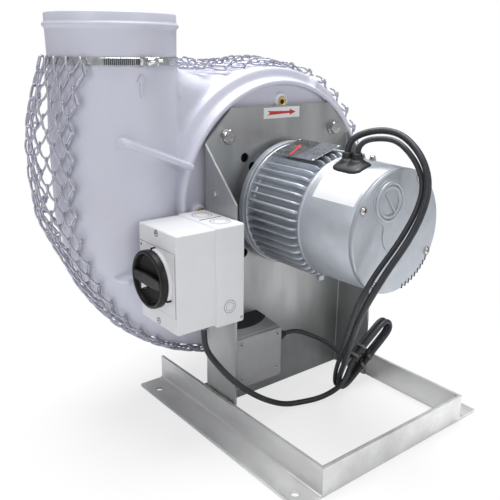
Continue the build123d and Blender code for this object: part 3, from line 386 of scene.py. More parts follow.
def hermite(tab, a, rev):
    for i in range(len(tab) - 1):
        x0, x1 = tab[i][0], tab[i + 1][0]
        if min(x0, x1) <= a <= max(x0, x1):
            p0, p1, p2, p3 = tab[max(i - 1, 0)], tab[i], tab[i + 1], tab[min(i + 2, len(tab) - 1)]
            t = (a - x0) / (x1 - x0)
            out = []
            for k in range(1, len(p1)):
                m1 = (p2[k] - p0[k]) / ((p2[0] - p0[0]) or 1) * (x1 - x0)
                m2 = (p3[k] - p1[k]) / ((p3[0] - p1[0]) or 1) * (x1 - x0)
                out.append((2 * t ** 3 - 3 * t ** 2 + 1) * p1[k] + (t ** 3 - 2 * t ** 2 + t) * m1 + (-2 * t ** 3 + 3 * t ** 2) * p2[k] + (t ** 3 - t ** 2) * m2)
            return out
    return list(tab[-1][1:]) if abs(a - tab[-1][0]) < abs(a - tab[0][0]) else list(tab[0][1:])


def stations(step=2.5, zstep=6.0, ztop=488.0):
    """centre, way out, tube radius along the volute and up the duct"""
    S = []
    a = 100.0
    while a > -180.0:
        R, rho = hermite(VOL, a, True)
        c, s = math.cos(math.radians(a)), math.sin(math.radians(a))
        S.append((Vector(((R - rho) * c, YC, AZ + (R - rho) * s)), Vector((c, 0, s)), rho))
        a -= step
    z = AZ
    while z <= ztop:
        x, rho = hermite(DUCT, z, False)
        S.append((Vector((x, YC, z)), Vector((-1, 0, 0)), rho))
        z += zstep
    return S


def pipe(off, cap=True, seg=72, **kw):
    S = stations(**kw)
    V, F = [], []
    for c, out, rho in S:
        for i in range(seg):
            a = 2 * math.pi * i / seg
            V.append(tuple(c + out * ((rho - off) * math.cos(a)) + Vector((0, (rho - off) * math.sin(a), 0))))
    n = len(S)
    for k in range(n - 1):
        for i in range(seg):
            F.append((k * seg + i, k * seg + (i + 1) % seg, (k + 1) * seg + (i + 1) % seg, (k + 1) * seg + i))
    if cap:
        F.append(tuple(range(seg)))
        F.append(tuple(range((n - 1) * seg, n * seg)))
    return V, F


def raw(name, V, F):
    me = bpy.data.meshes.new(name)
    me.from_pydata([Vector(v) * MM for v in V], [], F)
    bm = bmesh.new()
    bm.from_mesh(me)
    bmesh.ops.remove_doubles(bm, verts=bm.verts, dist=1e-6)
    bmesh.ops.recalc_face_normals(bm, faces=bm.faces)
    bm.to_mesh(me)
    bm.free()
    o = bpy.data.objects.new(name, me)
    scene.collection.objects.link(o)
    return o


def lathe_vf(prof, seg=160, cap=True):
    """solid turned about the fan axis; the profile starts and ends on the axis"""
    V, F = [], []
    n = len(prof)
    for i in range(seg):
        a = 2 * math.pi * i / seg
        for r, y in prof:
            V.append((r * math.cos(a), y + SY, AZ + r * math.sin(a)))
    for i in range(seg):
        for j in range(n - 1):
            F.append((i * n + j, i * n + j + 1, ((i + 1) % seg) * n + j + 1, ((i + 1) % seg) * n + j))
    return V, F


def remesh(objs, voxel, smooth, name):
    o = join(name, objs)
    md = o.modifiers.new("vox", "REMESH")
    md.mode, md.voxel_size, md.use_smooth_shade = "VOXEL", voxel * MM, True
    if smooth:
        sm = o.modifiers.new("soft", "SMOOTH")
        sm.factor, sm.iterations = 0.5, smooth
    dg = bpy.context.evaluated_depsgraph_get()
    me = bpy.data.meshes.new_from_object(o.evaluated_get(dg))
    bpy.data.objects.remove(o, do_unlink=True)
    r = bpy.data.objects.new(name, me)
    scene.collection.objects.link(r)
    return r


VOX = 1.5
V, F = pipe(0.0)
body = raw("body", V, F)
drum = raw("drum", *lathe_vf([(0, 23), (176, 23), (180, 25), (182, 29), (182, 150), (180.5, 155), (174, 163), (168, 169), (0, 169)]))
sad = []
sv, sf = [], []
nS = 15
for k in range(nS + 1):      # web that fills the hollow between the outlet neck and the volute's top
    t = k / nS
    x = -150.0 + 104.0 * t
    top = 481.0 - 6.0 * math.sin(math.pi * t) - 5.0 * t
    hw = 60.0 - 6.0 * math.sin(math.pi * t)
    for i in range(16):
        a = math.pi * i / 15
        sv.append((x, YC - hw * math.cos(a), top - 34.0 + 34.0 * math.sin(a) ** 0.8))
    sv.append((x, YC + hw, 380.0))
    sv.append((x, YC - hw, 380.0))
for k in range(nS):
    for i in range(18):
        sf.append((k * 18 + i, k * 18 + (i + 1) % 18, (k + 1) * 18 + (i + 1) % 18, (k + 1) * 18 + i))
sf.append(tuple(range(18)))
sf.append(tuple(range(nS * 18, nS * 18 + 18)))
saddle = raw("saddle", sv, sf)
core = remesh([body, drum, saddle], 3.0, 14, "casing_core")

# crisp motor-side ring with its recess floor and insert bosses
ring = raw("ring", *lathe_vf([(0, 9), (161, 9), (161.2, 3.8), (162.0, 3), (165.4, 3), (166.4, 3.6), (169.6, 16.6), (171.4, 18.2), (180.2, 19.4), (182.3, 20.6), (183.2, 23.0), (183.2, 60), (0, 60)]))
blobs = [core, ring]


def rib(a, r0, r1, y0, y1, hw=4.0, crest=None, lone=None):
    """rounded radial web on the casing's face"""
    V, F = [], []
    n, m = 26, 12
    ca, sa = math.cos(math.radians(a)), math.sin(math.radians(a))
    for k in range(n + 1):
        t = k / n
        r = r0 + (r1 - r0) * t
        yc = y0 + (y1 - y0) * t
        end = max(0.0, (r - (r1 - 9.0)) / 9.0)
        yc += 15.0 * (1 - math.sqrt(max(0.0, 1 - min(end, 1.0) ** 2)))
        w = hw * (1 - 0.45 * min(end, 1.0) ** 2)
        sec = [(-w, 46.0)]
        for i in range(m + 1):
            b = math.pi * i / m
            sec.append((-w * math.cos(b), yc + (crest or hw) - (crest or hw) * math.sin(b)))
        sec.append((w, 46.0))
        for u, y in sec:
            V.append((r * ca - u * sa, y + SY, AZ + r * sa + u * ca))
    q = m + 3
    for k in range(n):
        for i in range(q):
            F.append((k * q + i, k * q + (i + 1) % q, (k + 1) * q + (i + 1) % q, (k + 1) * q + i))
    F.append(tuple(range(q)))
    F.append(tuple(range(n * q, n * q + q)))
    return add(lone, V, F, "casing", sharp=70) if lone else raw("rib", V, F)


for a, r1, y0, y1 in ((157.6, 270.0, -0.6, -2.4), (196.4, 263.0, 3.3, 3.2), (244.0, 236.0, 3.4, 5.0), (289.0, 212.0, 3.4, 5.0), (67.0, 184.5, 4.2, 5.5)):
    blobs.append(rib(a, 163.0, r1, y0, y1))
# the two ribs that show keep their crisp edges
rib(157.6, 162.0, 270.6, -1.0, -3.0, hw=3.9, crest=2.3, lone="casing_rib_a")
rib(196.4, 162.0, 263.4, 3.05, 3.05, hw=3.9, crest=2.3, lone="casing_rib_b")
lathe("casing_lip", [(160.9, 9.0), (160.9, 3.5), (161.6, 2.75), (165.7, 2.75), (166.7, 3.5), (168.4, 9.0)], "casing", seg=240, sharp=50)
for k in range(8):
    x, z = pol(138.0, 45 * k)
    V, F = [], []
    for i in range(40):
        b = 2 * math.pi * i / 40
        V += [(x + 11.3 * math.cos(b), SY + 3.6, z + 11.3 * math.sin(b)), (x + 11.8 * math.cos(b), SY + 12, z + 11.8 * math.sin(b))]
    F = [((2 * i), (2 * i + 1), (2 * i + 3) % 80, (2 * i + 2) % 80) for i in range(40)] + [tuple(range(0, 80, 2)), tuple(range(1, 80, 2))]
    blobs.append(raw("boss", V, F))
# flow arrow raised on the outlet neck
av, af = [], []
pts = [(-218.7, 445.5), (-216.1, 445.5), (-216.1, 462.5), (-212.4, 462.5), (-217.4, 472.5), (-222.4, 462.5), (-218.7, 462.5)]
casing = remesh(blobs, VOX, 2, "volute_casing_shell")
bm = bmesh.new()
bm.from_mesh(casing.data)
bmesh.ops.bisect_plane(bm, geom=bm.verts[:] + bm.edges[:] + bm.faces[:], plane_co=(0, 0, 0.4865), plane_no=(0, 0, 1), dist=1e-7, clear_outer=False)
kill = []
for f in bm.faces:
    c = f.calc_center_median() * 1000.0
    rx, rz = c.x, c.z - AZ
    r = math.hypot(rx, rz)
    if c.z > 486.4 and math.hypot(c.x + 211, c.y - YC) < 84:
        kill.append(f)
    elif r < 117.0 and (c.y < SY + 30 or c.y > SY + 150):
        kill.append(f)
bmesh.ops.delete(bm, geom=kill, context="FACES")
bm.to_mesh(casing.data)
bm.free()
dress(casing, "casing", sharp=0, replaces=("volute_casing",))

V, F = pipe(4.0, cap=False, ztop=487.0)
# inner wall takes the darker casing colour as painted shade
add("volute_inner_wall", V, F, "inside", sharp=0)
lathe("outlet_spigot", [(75.2, 484), (79.35, 484), (79.5, 496), (79.9, 521), (80.4, 523.2), (81.6, 524.6), (82.7, 525.7), (83.0, 527.0), (82.7, 528.3), (81.6, 529.4),
                        (80.4, 530.6), (80.0, 532.0), (80.0, 539.6), (79.4, 540.7), (78.6, 541.0), (76.4, 541.0), (75.7, 540.6), (75.2, 539.6)],
      "casing", axis="z", c=(-211.0, YC), seg=180, sharp=0)
prism("neck_arrow", pts, "y", SY + 3.3, SY + 8.5, "casing", bevel=0.5)

for k in range(8):
    x, z = pol(138.0, 45 * k)
    lathe("insert_%d" % k, [(3.0, 3.3), (4.6, 3.3), (5.4, 3.05), (6.9, 3.1), (7.4, 3.5), (7.4, 19.5), (3.0, 19.5)], "brass", c=(x, z), seg=40,
          replaces=("casing_inserts",) if k == 0 else ())
    lathe("insert_bore_%d" % k, [(0, 3.0), (3.3, 3.0), (3.3, 4.0), (0, 4.0)], "hole", c=(x, z), seg=24)


# ------------------------------------------------------------------ woven wire guard
def guard_frames():
    S = [(c, o, r, a) for (c, o, r), a in zip(stations(step=2.0, zstep=4.0, ztop=501.0), [100.0 - 2.0 * k for k in range(140)] + [-181.0] * 200)]
    c0, o0, r0, a0 = S[0]
    c9, o9, r9 = Vector((-128.0, YC, 414.0)), Vector((0.05, 0, 1)).normalized(), 70.0
    pre = []
    for k in range(24):
        t = k / 24.0
        o = (o9 * (1 - t) + o0 * t).normalized()
        pre.append((c9 * (1 - t) + c0 * t + Vector((0, 0, -5.0 * math.sin(math.pi * t))), o, r9 * (1 - t) + r0 * t, 110.0 - 10.0 * t))
    S = pre + S
    T, prev, s = [], None, 0.0
    for c, o, r, a in S:
        p = c + o * (r + 6.5)
        if prev is not None:
            s += (p - prev).length
        prev = p
        T.append((s, c, o, r, a))
    return T


GF = guard_frames()
GL = GF[-1][0]
GC = GL - 12.0        # where the strip passes the clamp on the left
EDGE = [(110.0, 52.0), (98.0, 50.0), (83.0, 36.0), (65.0, 27.0), (45.0, 23.5), (25.0, 22.5), (-20.0, 24.0), (-60.0, 34.0), (-95.0, 45.0), (-182.0, 50.0)]


def ramp(tab, x):
    for (x0, y0), (x1, y1) in zip(tab[:-1], tab[1:]):
        if x1 <= x <= x0:
            return y0 + (y1 - y0) * (x - x0) / (x1 - x0)
    return tab[0][1] if x > tab[0][0] else tab[-1][1]


# how far the loose strip stands off below the clamp
LOOSE = [(0.0, 0.0), (15.0, 4.0), (30.0, 8.0), (50.0, 12.0), (70.0, 15.5), (90.0, 18.2), (110.0, 19.5), (130.0, 19.5), (150.0, 18.6), (170.0, 16.8), (190.0, 13.8), (210.0, 9.8), (230.0, 5.4), (250.0, 2.0), (270.0, 0.0)]


def guard_point(s, v, off):
    """s along the strip from the clamp's right side, v across it from the front edge, off from the casing"""
    s = min(max(s, 0.0), GL - 0.001)
    lo_, hi_ = 0, len(GF) - 1
    while hi_ - lo_ > 1:
        mid = (lo_ + hi_) // 2
        if GF[mid][0] <= s:
            lo_ = mid
        else:
            hi_ = mid
    a, b = GF[lo_], GF[hi_]
    t = (s - a[0]) / max(b[0] - a[0], 1e-6)
    c, o, r = a[1].lerp(b[1], t), a[2].lerp(b[2], t).normalized(), a[3] + (b[3] - a[3]) * t
    th = a[4] + (b[4] - a[4]) * t if abs(b[4] - a[4]) < 5 else b[4]
    dz = max(GC - s, 0.0)          # way down from the clamp on the left
    f0 = 27.0 + 2.0 * math.exp(-((dz - 75.0) / 45.0) ** 2) + 17.0 * max(0.0, 1 - dz / 95.0) ** 1.6
    phi = f0 - math.degrees(v / (r + 7.0))
    bulge = 0.0
    for (d0, b0), (d1, b1) in zip(LOOSE[:-1], LOOSE[1:]):
        if d0 <= dz < d1:
            bulge = (b0 + (b1 - b0) * (dz - d0) / (d1 - d0)) * min(1.0, max(0.0, (14.0 - phi) / 28.0))
    rr = r + off + bulge
    q = rr * math.cos(math.radians(phi))
    base = (c - Vector((0, 0, AZ))).dot(o)
    if dz > 200:
        q = max(q, 182.0 + off - 1.0 - base)
    p = c + o * q + Vector((0, -rr * math.sin(math.radians(phi)), 0))
    w = 0.0
    if -95.0 < th < 100.0:
        w = min(1.0, (100.0 - th) / 14.0, (th + 95.0) / 35.0)
        w = w * w * (3 - 2 * w)
    if w > 0:
        y = ramp(EDGE, th) + v
        d = r * r - (86.0 - y) ** 2
        pr = base + math.sqrt(d) if d > 0 else 0.0
        rad = max(183.0, pr)
        if abs(rad - min(183.0, pr)) < 6.0:
            rad += (6.0 - abs(183.0 - pr)) ** 2 / 36.0 * 1.5
        p2 = Vector((o.x * (rad + off), y + SY, AZ + o.z * (rad + off)))
        p = p.lerp(p2, w)
    p.x = min(max(p.x, -315.6), 196.2)
    return p


def guard_wires():
    cu = bpy.data.curves.new("guard_wire", "CURVE")
    cu.dimensions = "3D"
    P_, ROW, H2, t, W = 19.2, 16.8, 9.45, 6.4, 6
    NP = 20
    m = 0
    while True:
        sc = GC - 4.6 - ROW * m
        if sc < 8.0:
            break
        r_ = random.Random(50 + m)
        odd = m % 2
        js, jv, jo = r_.uniform(-0.5, 0.5), r_.uniform(-0.4, 0.4), r_.uniform(-0.3, 0.5)
        Q = []
        tip = H2 if odd else -H2
        if odd:       # cut end bent back over its own leg
            e = [(4.8, -11.8, 2.6), (2.4, -7.0, 3.4), (-0.4, -2.2, 3.0), (-1.5, -0.1, 2.0), (-1.9, 0.7, 0.4), (-1.5, 0.5, -1.3), (-0.6, -0.7, -2.6)]
        else:
            e = [(3.4, 12.3, 3.2), (0.4, 7.2, 3.9), (-2.5, 2.2, 3.4), (-3.3, 0.4, 2.6), (-3.2, -0.9, 1.7), (-2.2, -1.5, 1.0), (-0.9, -1.1, 1.0), (0.2, 0.0, 2.0)]
        k_ = r_.uniform(0.85, 1.12)
        for v, s_, n in e:
            Q.append((v * (k_ if abs(s_) > 3 else 1), tip + s_ * (k_ if abs(s_) > 3 else 1), n))
        n0 = int(NP * 0.09) + 1
        for j in range(n0, int(NP * W) - n0 + 1):
            tau = j / NP
            th = 2 * math.pi * tau + (math.pi if odd else 0.0)
            s_ = -H2 * math.asin(0.965 * math.cos(th)) / math.asin(0.965)
            n = t / 2 * math.tanh(2.2 * math.sin(th)) / math.tanh(2.2)
            Q.append((P_ * tau, s_, n))
        for v, s_, n in e[::-1]:
            Q.append((W * P_ - v, -(tip + s_) if False else (tip + s_ * 0.6), -n))
        sp = cu.splines.new("POLY")
        sp.points.add(len(Q) - 1)
        for q, (v, s_, n) in zip(sp.points, Q):
            p = guard_point(sc + s_ + js, v + jv, 6.0 + jo + n)
            q.co = (p.x * MM, p.y * MM, p.z * MM, 1.0)
        m += 1
    cu.bevel_depth = 1.42 * MM
    cu.bevel_resolution = 1
    cu.use_fill_caps = True
    o = bpy.data.objects.new("guard_wire", cu)
    scene.collection.objects.link(o)
    cu.materials.append(M["wire"])
    me = bpy.data.meshes.new_from_object(o.evaluated_get(bpy.context.evaluated_depsgraph_get()))
    bpy.data.objects.remove(o, do_unlink=True)
    g = bpy.data.objects.new("woven_guard", me)
    scene.collection.objects.link(g)
    return dress(g, "wire", sharp=0, replaces=("guard_mesh",))


guard_wires()

# ------------------------------------------------------------------ hose clamp
lathe("clamp_strip", [(79.95, 481.6), (80.9, 481.6), (81.15, 481.9), (81.15, 490.2), (80.9, 490.5), (79.95, 490.5)], "clamp", axis="z", c=(-211, YC), seg=200, sharp=30,
      replaces=("clamp_band",))
# dark band under the worm thread: painted shade between the thread ribs
lathe("clamp_thread_bed_shade", [(81.1, 482.5), (81.3, 482.5), (81.3, 489.5), (81.1, 489.5)], "alu_deep_shade", axis="z", c=(-211, YC), seg=200, sharp=30)
bed = bpy.data.objects["clamp_thread_bed_shade"]
bb = bmesh.new()
bb.from_mesh(bed.data)
gone = []
for f_ in bb.faces:
    c_ = f_.calc_center_median()
    an_ = math.degrees(math.atan2(c_.y / MM - YC, c_.x / MM + 211))
    if not -123.5 < an_ < -96.0:
        gone.append(f_)
bmesh.ops.delete(bb, geom=gone, context="FACES")
bb.to_mesh(bed.data)
bb.free()
tv, tf = [], []
for k in range(17):             # worm thread pressed in the strip
    a = math.radians(-123.0 + 1.58 * k)
    for da, z in ((-0.0052, 482.4), (0.0052, 482.4), (0.0118, 489.6), (0.0014, 489.6)):
        for rr in (81.1, 82.1):
            tv.append((-211 + rr * math.cos(a + da), YC + rr * math.sin(a + da), z))
    b = 8 * k
    tf += [(b, b + 2, b + 4, b + 6), (b + 1, b + 7, b + 5, b + 3), (b, b + 1, b + 3, b + 2), (b + 2, b + 3, b + 5, b + 4), (b + 4, b + 5, b + 7, b + 6), (b + 6, b + 7, b + 1, b)]
add("clamp_thread", tv, tf, "clamp", sharp=20)
yf = YC - 80.6
rbox("clamp_saddle", -213.5, -193.5, yf - 4.8, yf + 1.6, 480.4, 491.6, "clamp", bevel=0.9, replaces=("clamp_housing",))
lathe("clamp_barrel", [(0, -211.5), (4.6, -211.5), (5.0, -210.9), (5.0, -198.6), (4.6, -198.0), (0, -198.0)], "clamp", axis="x", c=(yf - 4.8, 486.0), seg=48, closed=False)
lathe("clamp_screw_head", [(0, -220.8), (3.0, -220.8), (3.9, -219.9), (4.6, -219.3), (5.3, -218.7), (5.3, -214.7), (4.8, -214.1), (3.6, -213.9), (3.6, -210.5), (0, -210.5)],
      "steel", axis="x", c=(yf - 4.4, 486.0), seg=6, closed=False, sharp=20, replaces=("clamp_screw",))
lathe("clamp_screw_shank", [(0, -199), (3.0, -199), (3.0, -191.0), (2.5, -190.4), (0, -190.4)], "steel", axis="x", c=(yf - 4.2, 486.0), seg=32, closed=False)

# ------------------------------------------------------------------ bolts
def hexbolt(name, x, z, y0, af, h, m="steel", turn=0.0, **kw):
    R = af / math.sqrt(3)
    V, F = [], []
    prof = [(0.80 * R, y0 - h), (0.88 * R, y0 - h + 0.05), (1.0 * R, y0 - h + 1.1), (1.0 * R, y0)]
    n = 24
    for i in range(n):
        a = 2 * math.pi * i / n + math.radians(turn)
        hexr = math.cos(math.pi / 6) / math.cos((a - math.radians(turn)) % (math.pi / 3) - math.pi / 6)
        for j, (r, y) in enumerate(prof):
            rr = min(r, R * hexr) if j < 3 else R * hexr
            V.append((x + rr * math.cos(a), y + SY, z + rr * math.sin(a)))
    q = len(prof)
    for i in range(n):
        for j in range(q - 1):
            F.append((i * q + j, i * q + j + 1, ((i + 1) % n) * q + j + 1, ((i + 1) % n) * q + j))
    F.append(tuple(i * q for i in range(n)))
    F.append(tuple(i * q + q - 1 for i in range(n)))
    return add(name, V, F, m, sharp=25, **kw)


first = True
for a, tr in ((45, 12), (135, 25), (225, 7), (315, 18)):
    x, z = pol(138.0, a)
    lathe("washer_%d" % a, [(5.4, -1.9), (10.0, -1.9), (10.4, -1.6), (10.4, -0.1), (5.4, -0.1)], "steel", c=(x, z), seg=56, replaces=("casing_washers",) if first else ())
    lathe("spring_washer_%d" % a, [(5.4, -2.1), (8.0, -2.1), (8.2, -1.9), (8.2, -1.8), (5.4, -1.8)], "steel", c=(x, z), seg=40)
    hexbolt("bolt_%d" % a, x, z, -2.1, 17.0, 6.3, turn=tr, replaces=("casing_bolts",) if first else ())
    lathe("bolt_dish_%d" % a, [(0, -8.1), (4.6, -8.1), (5.0, -8.4), (5.3, -8.5), (5.6, -8.42), (5.6, -8.0), (0, -8.0)], "steel", c=(x, z), seg=32, closed=False)
    first = False

# sheet: holes' dark backs stay as seen through; small flange screw
lathe("flange_screw", [(0, -134.9), (2.4, -134.7), (3.6, -133.8), (4.0, -132.1), (0, -132.1)], "steel", axis="x", c=(SY - 23.0, 325.0), seg=32, closed=False)

# direction sticker: bare label with an arrow
rbox("sticker_label", -35.5, 29.5, SY - 0.38, SY - 0.02, 411.0, 425.6, "label", bevel=0.1, replaces=("direction_sticker",))
prism("sticker_arrow", [(-29.0, 415.4), (-22.5, 415.9), (11.0, 416.9), (11.0, 414.2), (22.5, 418.4), (11.0, 422.6), (11.0, 419.9), (-22.5, 420.9), (-29.0, 421.6), (-24.5, 418.5)], "y",
      SY - 0.46, SY - 0.36, "red", sharp=20)

# ------------------------------------------------------------------ motor
def fin(a, hw, y0, y1, r0=71.0, r1=84.0):
    V, F = [], []
    sec = lambda rt, k: [(r0, -1.45 * hw * k), (rt - 1.5, -hw * k), (rt - 0.4, -0.62 * hw * k), (rt, 0.0), (rt - 0.4, 0.62 * hw * k), (rt - 1.5, hw * k), (r0, 1.45 * hw * k)]
    st = [(y0, r1 - 4.0, 0.8), (y0 - 0.9, r1 - 1.2, 0.92), (y0 - 2.6, r1, 1.0), (y1 + 13.0, r1, 1.0), (y1 + 6.5, r1 - 0.7, 0.97), (y1 + 2.5, r1 - 2.6, 0.9), (y1, r1 - 5.5, 0.75)]
    ca, sa = math.cos(math.radians(a)), math.sin(math.radians(a))
    for y, rt, k in st:
        for r, u in sec(rt, k):
            V.append((r * ca - u * sa, y + SY, AZ + r * sa + u * ca))
    q = 7
    for k in range(len(st) - 1):
        for i in range(q):
            F.append((k * q + i, k * q + (i + 1) % q, (k + 1) * q + (i + 1) % q, (k + 1) * q + i))
    F.append(tuple(range(q)))
    F.append(tuple(range((len(st) - 1) * q, len(st) * q)))
    return V, F


V, F = [], []
ang = []
a = 95.0
NFIN = 46
for k in range(NFIN):
    a = 360.0 / NFIN * (k + 0.5)
    thick = 2.3 if k in (18, 21, 26) else 1.5
    if 88 < a < 126:
        thick = 1.1
    r1 = 82.6 if 84 < a < 130 else 84.0
    v, f = fin(a, thick, -26.0, -117.0, r1=r1)
    b = len(V)
    V += v
    F += [tuple(i + b for i in q) for q in f]
add("stator_fins", V, F, "alu", sharp=50, replaces=("stator_housing",))
lathe("stator_barrel", [(66.2, -22.0), (83.2, -22.0), (84.0, -22.6), (84.0, -24.0), (83.0, -25.0), (78, -25.8), (74.8, -27.2), (73.8, -30.0), (73.6, -104.0),
                        (74.4, -110.5), (76.6, -116.0), (78.2, -118.4), (78.6, -119.0), (66.2, -119.0)], "alu", seg=180, sharp=50)
lathe("flange_step", [(66.0, -13.6), (84.6, -13.6), (85.4, -14.4), (85.4, -20.8), (84.6, -21.6), (66.0, -21.9)], "alu", seg=180, sharp=50)
# rear drum with the electronics
lathe("rear_drum", [(75.2, -126.0), (75.2, -204.0), (76.6, -204.0), (77.2, -203.2), (78.9, -128.0), (79.0, -124.6), (78.55, -124.2), (78.55, -123.7), (79.0, -123.3),
                    (79.1, -120.0), (78.7, -119.4), (60.0, -119.4), (60.0, -126.0)], "alu", seg=200, sharp=50, replaces=("electronics_housing",))
lathe("rear_cap", [(0, -204.2), (76.9, -204.2), (77.2, -204.6), (77.2, -209.3), (76.2, -210.3), (75.4, -210.5), (0, -210.5)], "alu", seg=200, sharp=40, closed=False,
      replaces=("end_cap",))
PLX, PLZ = -18.9, 39.8


def blend_outline(r1, r2, k, n=220):
    """outline round the cap's centre boss and the plug boss together"""
    mx_, mz_ = PLX / 2, PLZ / 2
    P = []
    for i in range(n):
        a = 2 * math.pi * i / n
        lo_, hi_ = 0.0, 90.0
        for _ in range(34):
            t = (lo_ + hi_) / 2
            x, z = mx_ + t * math.cos(a), mz_ + t * math.sin(a)
            d1, d2 = math.hypot(x, z) - r1, math.hypot(x - PLX, z - PLZ) - r2
            h = max(k - abs(d1 - d2), 0.0) / k
            d = min(d1, d2) - h * h * k * 0.25
            if d < 0:
                lo_ = t
            else:
                hi_ = t
        P.append((mx_ + lo_ * math.cos(a), AZ + mz_ + lo_ * math.sin(a)))
    return P


prism("cap_plateau", blend_outline(27.0, 27.2, 10.0), "y", SY - 210.4, SY - 211.7, "alu", bevel=0.55)
lathe("plug_boss", [(20.2, -211.0), (24.2, -211.0), (24.6, -211.4), (24.6, -213.2), (23.8, -213.9), (21.2, -213.9), (20.6, -213.3), (20.2, -212.4)], "alu", c=(PLX, AZ + PLZ), seg=96, sharp=50)
lathe("plug_body", [(0, -211.2), (15.0, -211.2), (15.6, -211.7), (15.9, -213.1), (16.5, -213.6), (19.2, -213.6), (19.9, -213.0), (20.0, -211.0)], "alu", c=(PLX, AZ + PLZ), seg=96,
      sharp=50, closed=False, replaces=("end_cap_plug",))
# dark floor of the plug recess: painted shade
lathe("plug_floor_shade", [(0, -211.26), (14.8, -211.26), (14.8, -211.2)], "alu_deep_shade", c=(PLX, AZ + PLZ), seg=64, closed=False)
an = math.radians(35.0)
ux, uz = -math.sin(an), math.cos(an)
bar = []
for s_, w_ in ((-15.6, -1.7), (-15.6, 1.7), (15.6, 1.7), (15.6, -1.7)):
    bar.append((PLX + ux * s_ + uz * w_, AZ + PLZ + uz * s_ - ux * w_))
prism("plug_web", bar, "y", SY - 211.0, SY - 213.9, "alu", bevel=0.7)
first = True
for a in (151.0, 61.3, -29.3, 241.0):
    x, z = pol(71.0, a)
    # darker ring round the cap screw: painted shade of its well
    lathe("cap_screw_well_%d" % a, [(0, -210.55), (6.1, -210.55), (6.4, -210.62), (6.4, -210.4)], "alu_well_shade", c=(x, z), seg=40, closed=False)
    lathe("cap_screw_%d" % a, [(0, -213.0), (2.6, -212.9), (4.0, -212.3), (4.7, -211.2), (4.7, -210.5), (0, -210.5)], "steel", c=(x, z), seg=40, closed=False,
          replaces=("end_cap_screws",) if first else ())
    for d in (0, 90):
        t = math.radians(d + 20 + a)
        pp = [(x + math.cos(t) * s1 - math.sin(t) * s2, z + math.sin(t) * s1 + math.cos(t) * s2) for s1, s2 in ((-2.6, -0.45), (2.6, -0.45), (2.6, 0.45), (-2.6, 0.45))]
        prism("cap_screw_cross_%d_%d" % (a, d), pp, "y", SY - 213.06, SY - 212.5, "hole", sharp=20)
    first = False
for k in range(9):              # comb of slots in the cap's lower right rim
    a = -76.0 + 5.0 * k
    x, z = pol(74.4, a)
    pp = [(x - 0.95, z - 3.4), (x + 0.95, z - 3.4), (x + 0.95, z + 3.0), (x - 0.95, z + 3.0)]
    prism("cap_slot_%d" % k, pp, "y", SY - 204.0, SY - 210.62, "hole", sharp=20)

# rating plate and white label, both bare
na = math.radians(106.7)
nx, nz = math.cos(na), math.sin(na)
tx, tz = nz, -nx


def plate(name, t0, t1, y0, y1, d0, d1, m, **kw):
    V = []
    for d in (d0, d1):
        for t, y in ((t0, y0), (t1, y0), (t1, y1), (t0, y1)):
            V.append((nx * d + tx * t, y + SY, AZ + nz * d + tz * t))
    F = [(0, 1, 2, 3), (7, 6, 5, 4), (0, 4, 5, 1), (1, 5, 6, 2), (2, 6, 7, 3), (3, 7, 4, 0)]
    return add(name, V, F, m, **kw)


plate("rating_plate", -19.5, 31.5, -106.0, -29.0, 84.1, 84.9, "foil_l", bevel=0.3, replaces=("motor_nameplate",))
plate("rating_plate_print", -18.6, 30.6, -105.0, -30.0, 84.9, 85.02, "foil", sharp=20)
plate("rating_plate_panel", -18.6, 30.6, -105.0, -73.0, 85.0, 85.08, "foil_m", sharp=20)
plate("rating_plate_field", 12.0, 29.0, -70.0, -34.0, 85.0, 85.09, "foil_d", sharp=20)
av = []
for d in (85.02, 85.16):
    for t, y in ((-17.0, -58.5), (6.0, -51.5), (5.0, -48.0), (15.5, -46.6), (7.8, -57.5), (6.9, -54.5), (-16.2, -62.2)):
        av.append((nx * d + tx * t, y + SY, AZ + nz * d + tz * t))
add("rating_plate_arrow", av, [tuple(range(7)), tuple(range(13, 6, -1))] + [(i, (i + 1) % 7, 7 + (i + 1) % 7, 7 + i) for i in range(7)], "red", sharp=20)
for t, y in ((-17.0, -103.5), (29.0, -103.5), (-17.0, -31.5), (29.0, -31.5)):
    c = Vector((nx * 85.0 + tx * t, y + SY, AZ + nz * 85.0 + tz * t))
    V, F = [], []
    for j, (r, h) in enumerate(((1.7, 0.0), (1.5, 0.35), (0.8, 0.55), (0.0, 0.6))):
        for i in range(16):
            b = 2 * math.pi * i / 16
            V.append(tuple(c + Vector((nx, 0, nz)) * h + Vector((tx, 0, tz)) * (r * math.cos(b)) + Vector((0, 1, 0)) * (r * math.sin(b))))
    for j in range(3):
        for i in range(16):
            F.append((j * 16 + i, j * 16 + (i + 1) % 16, (j + 1) * 16 + (i + 1) % 16, (j + 1) * 16 + i))
    add("plate_rivet_%d_%d" % (t, y), V, F, "steel", sharp=0)


def wrap(name, a0, a1, y0, y1, off, th, m, n=24, **kw):
    """patch that lies on the slightly conical rear drum"""
    V, F = [], []
    for j, (y, d) in enumerate(((y0, 0), (y1, 0), (y1, th), (y0, th))):
        for i in range(n + 1):
            a = math.radians(a0 + (a1 - a0) * i / n)
            r = 77.2 + (78.9 - 77.2) * (y + 203.2) / 75.2 + off + d
            V.append((r * math.cos(a), y + SY, AZ + r * math.sin(a)))
    q = n + 1
    for j in range(4):
        for i in range(n):
            F.append((j * q + i, j * q + i + 1, ((j + 1) % 4) * q + i + 1, ((j + 1) % 4) * q + i))
    F.append((0, q, 2 * q, 3 * q))
    F.append((n, q + n, 2 * q + n, 3 * q + n))
    return add(name, V, F, m, **kw)


wrap("motor_white_label", 126.0, 150.5, -200.5, -134.0, 0.02, 0.12, "label", sharp=20, replaces=("motor_label",))

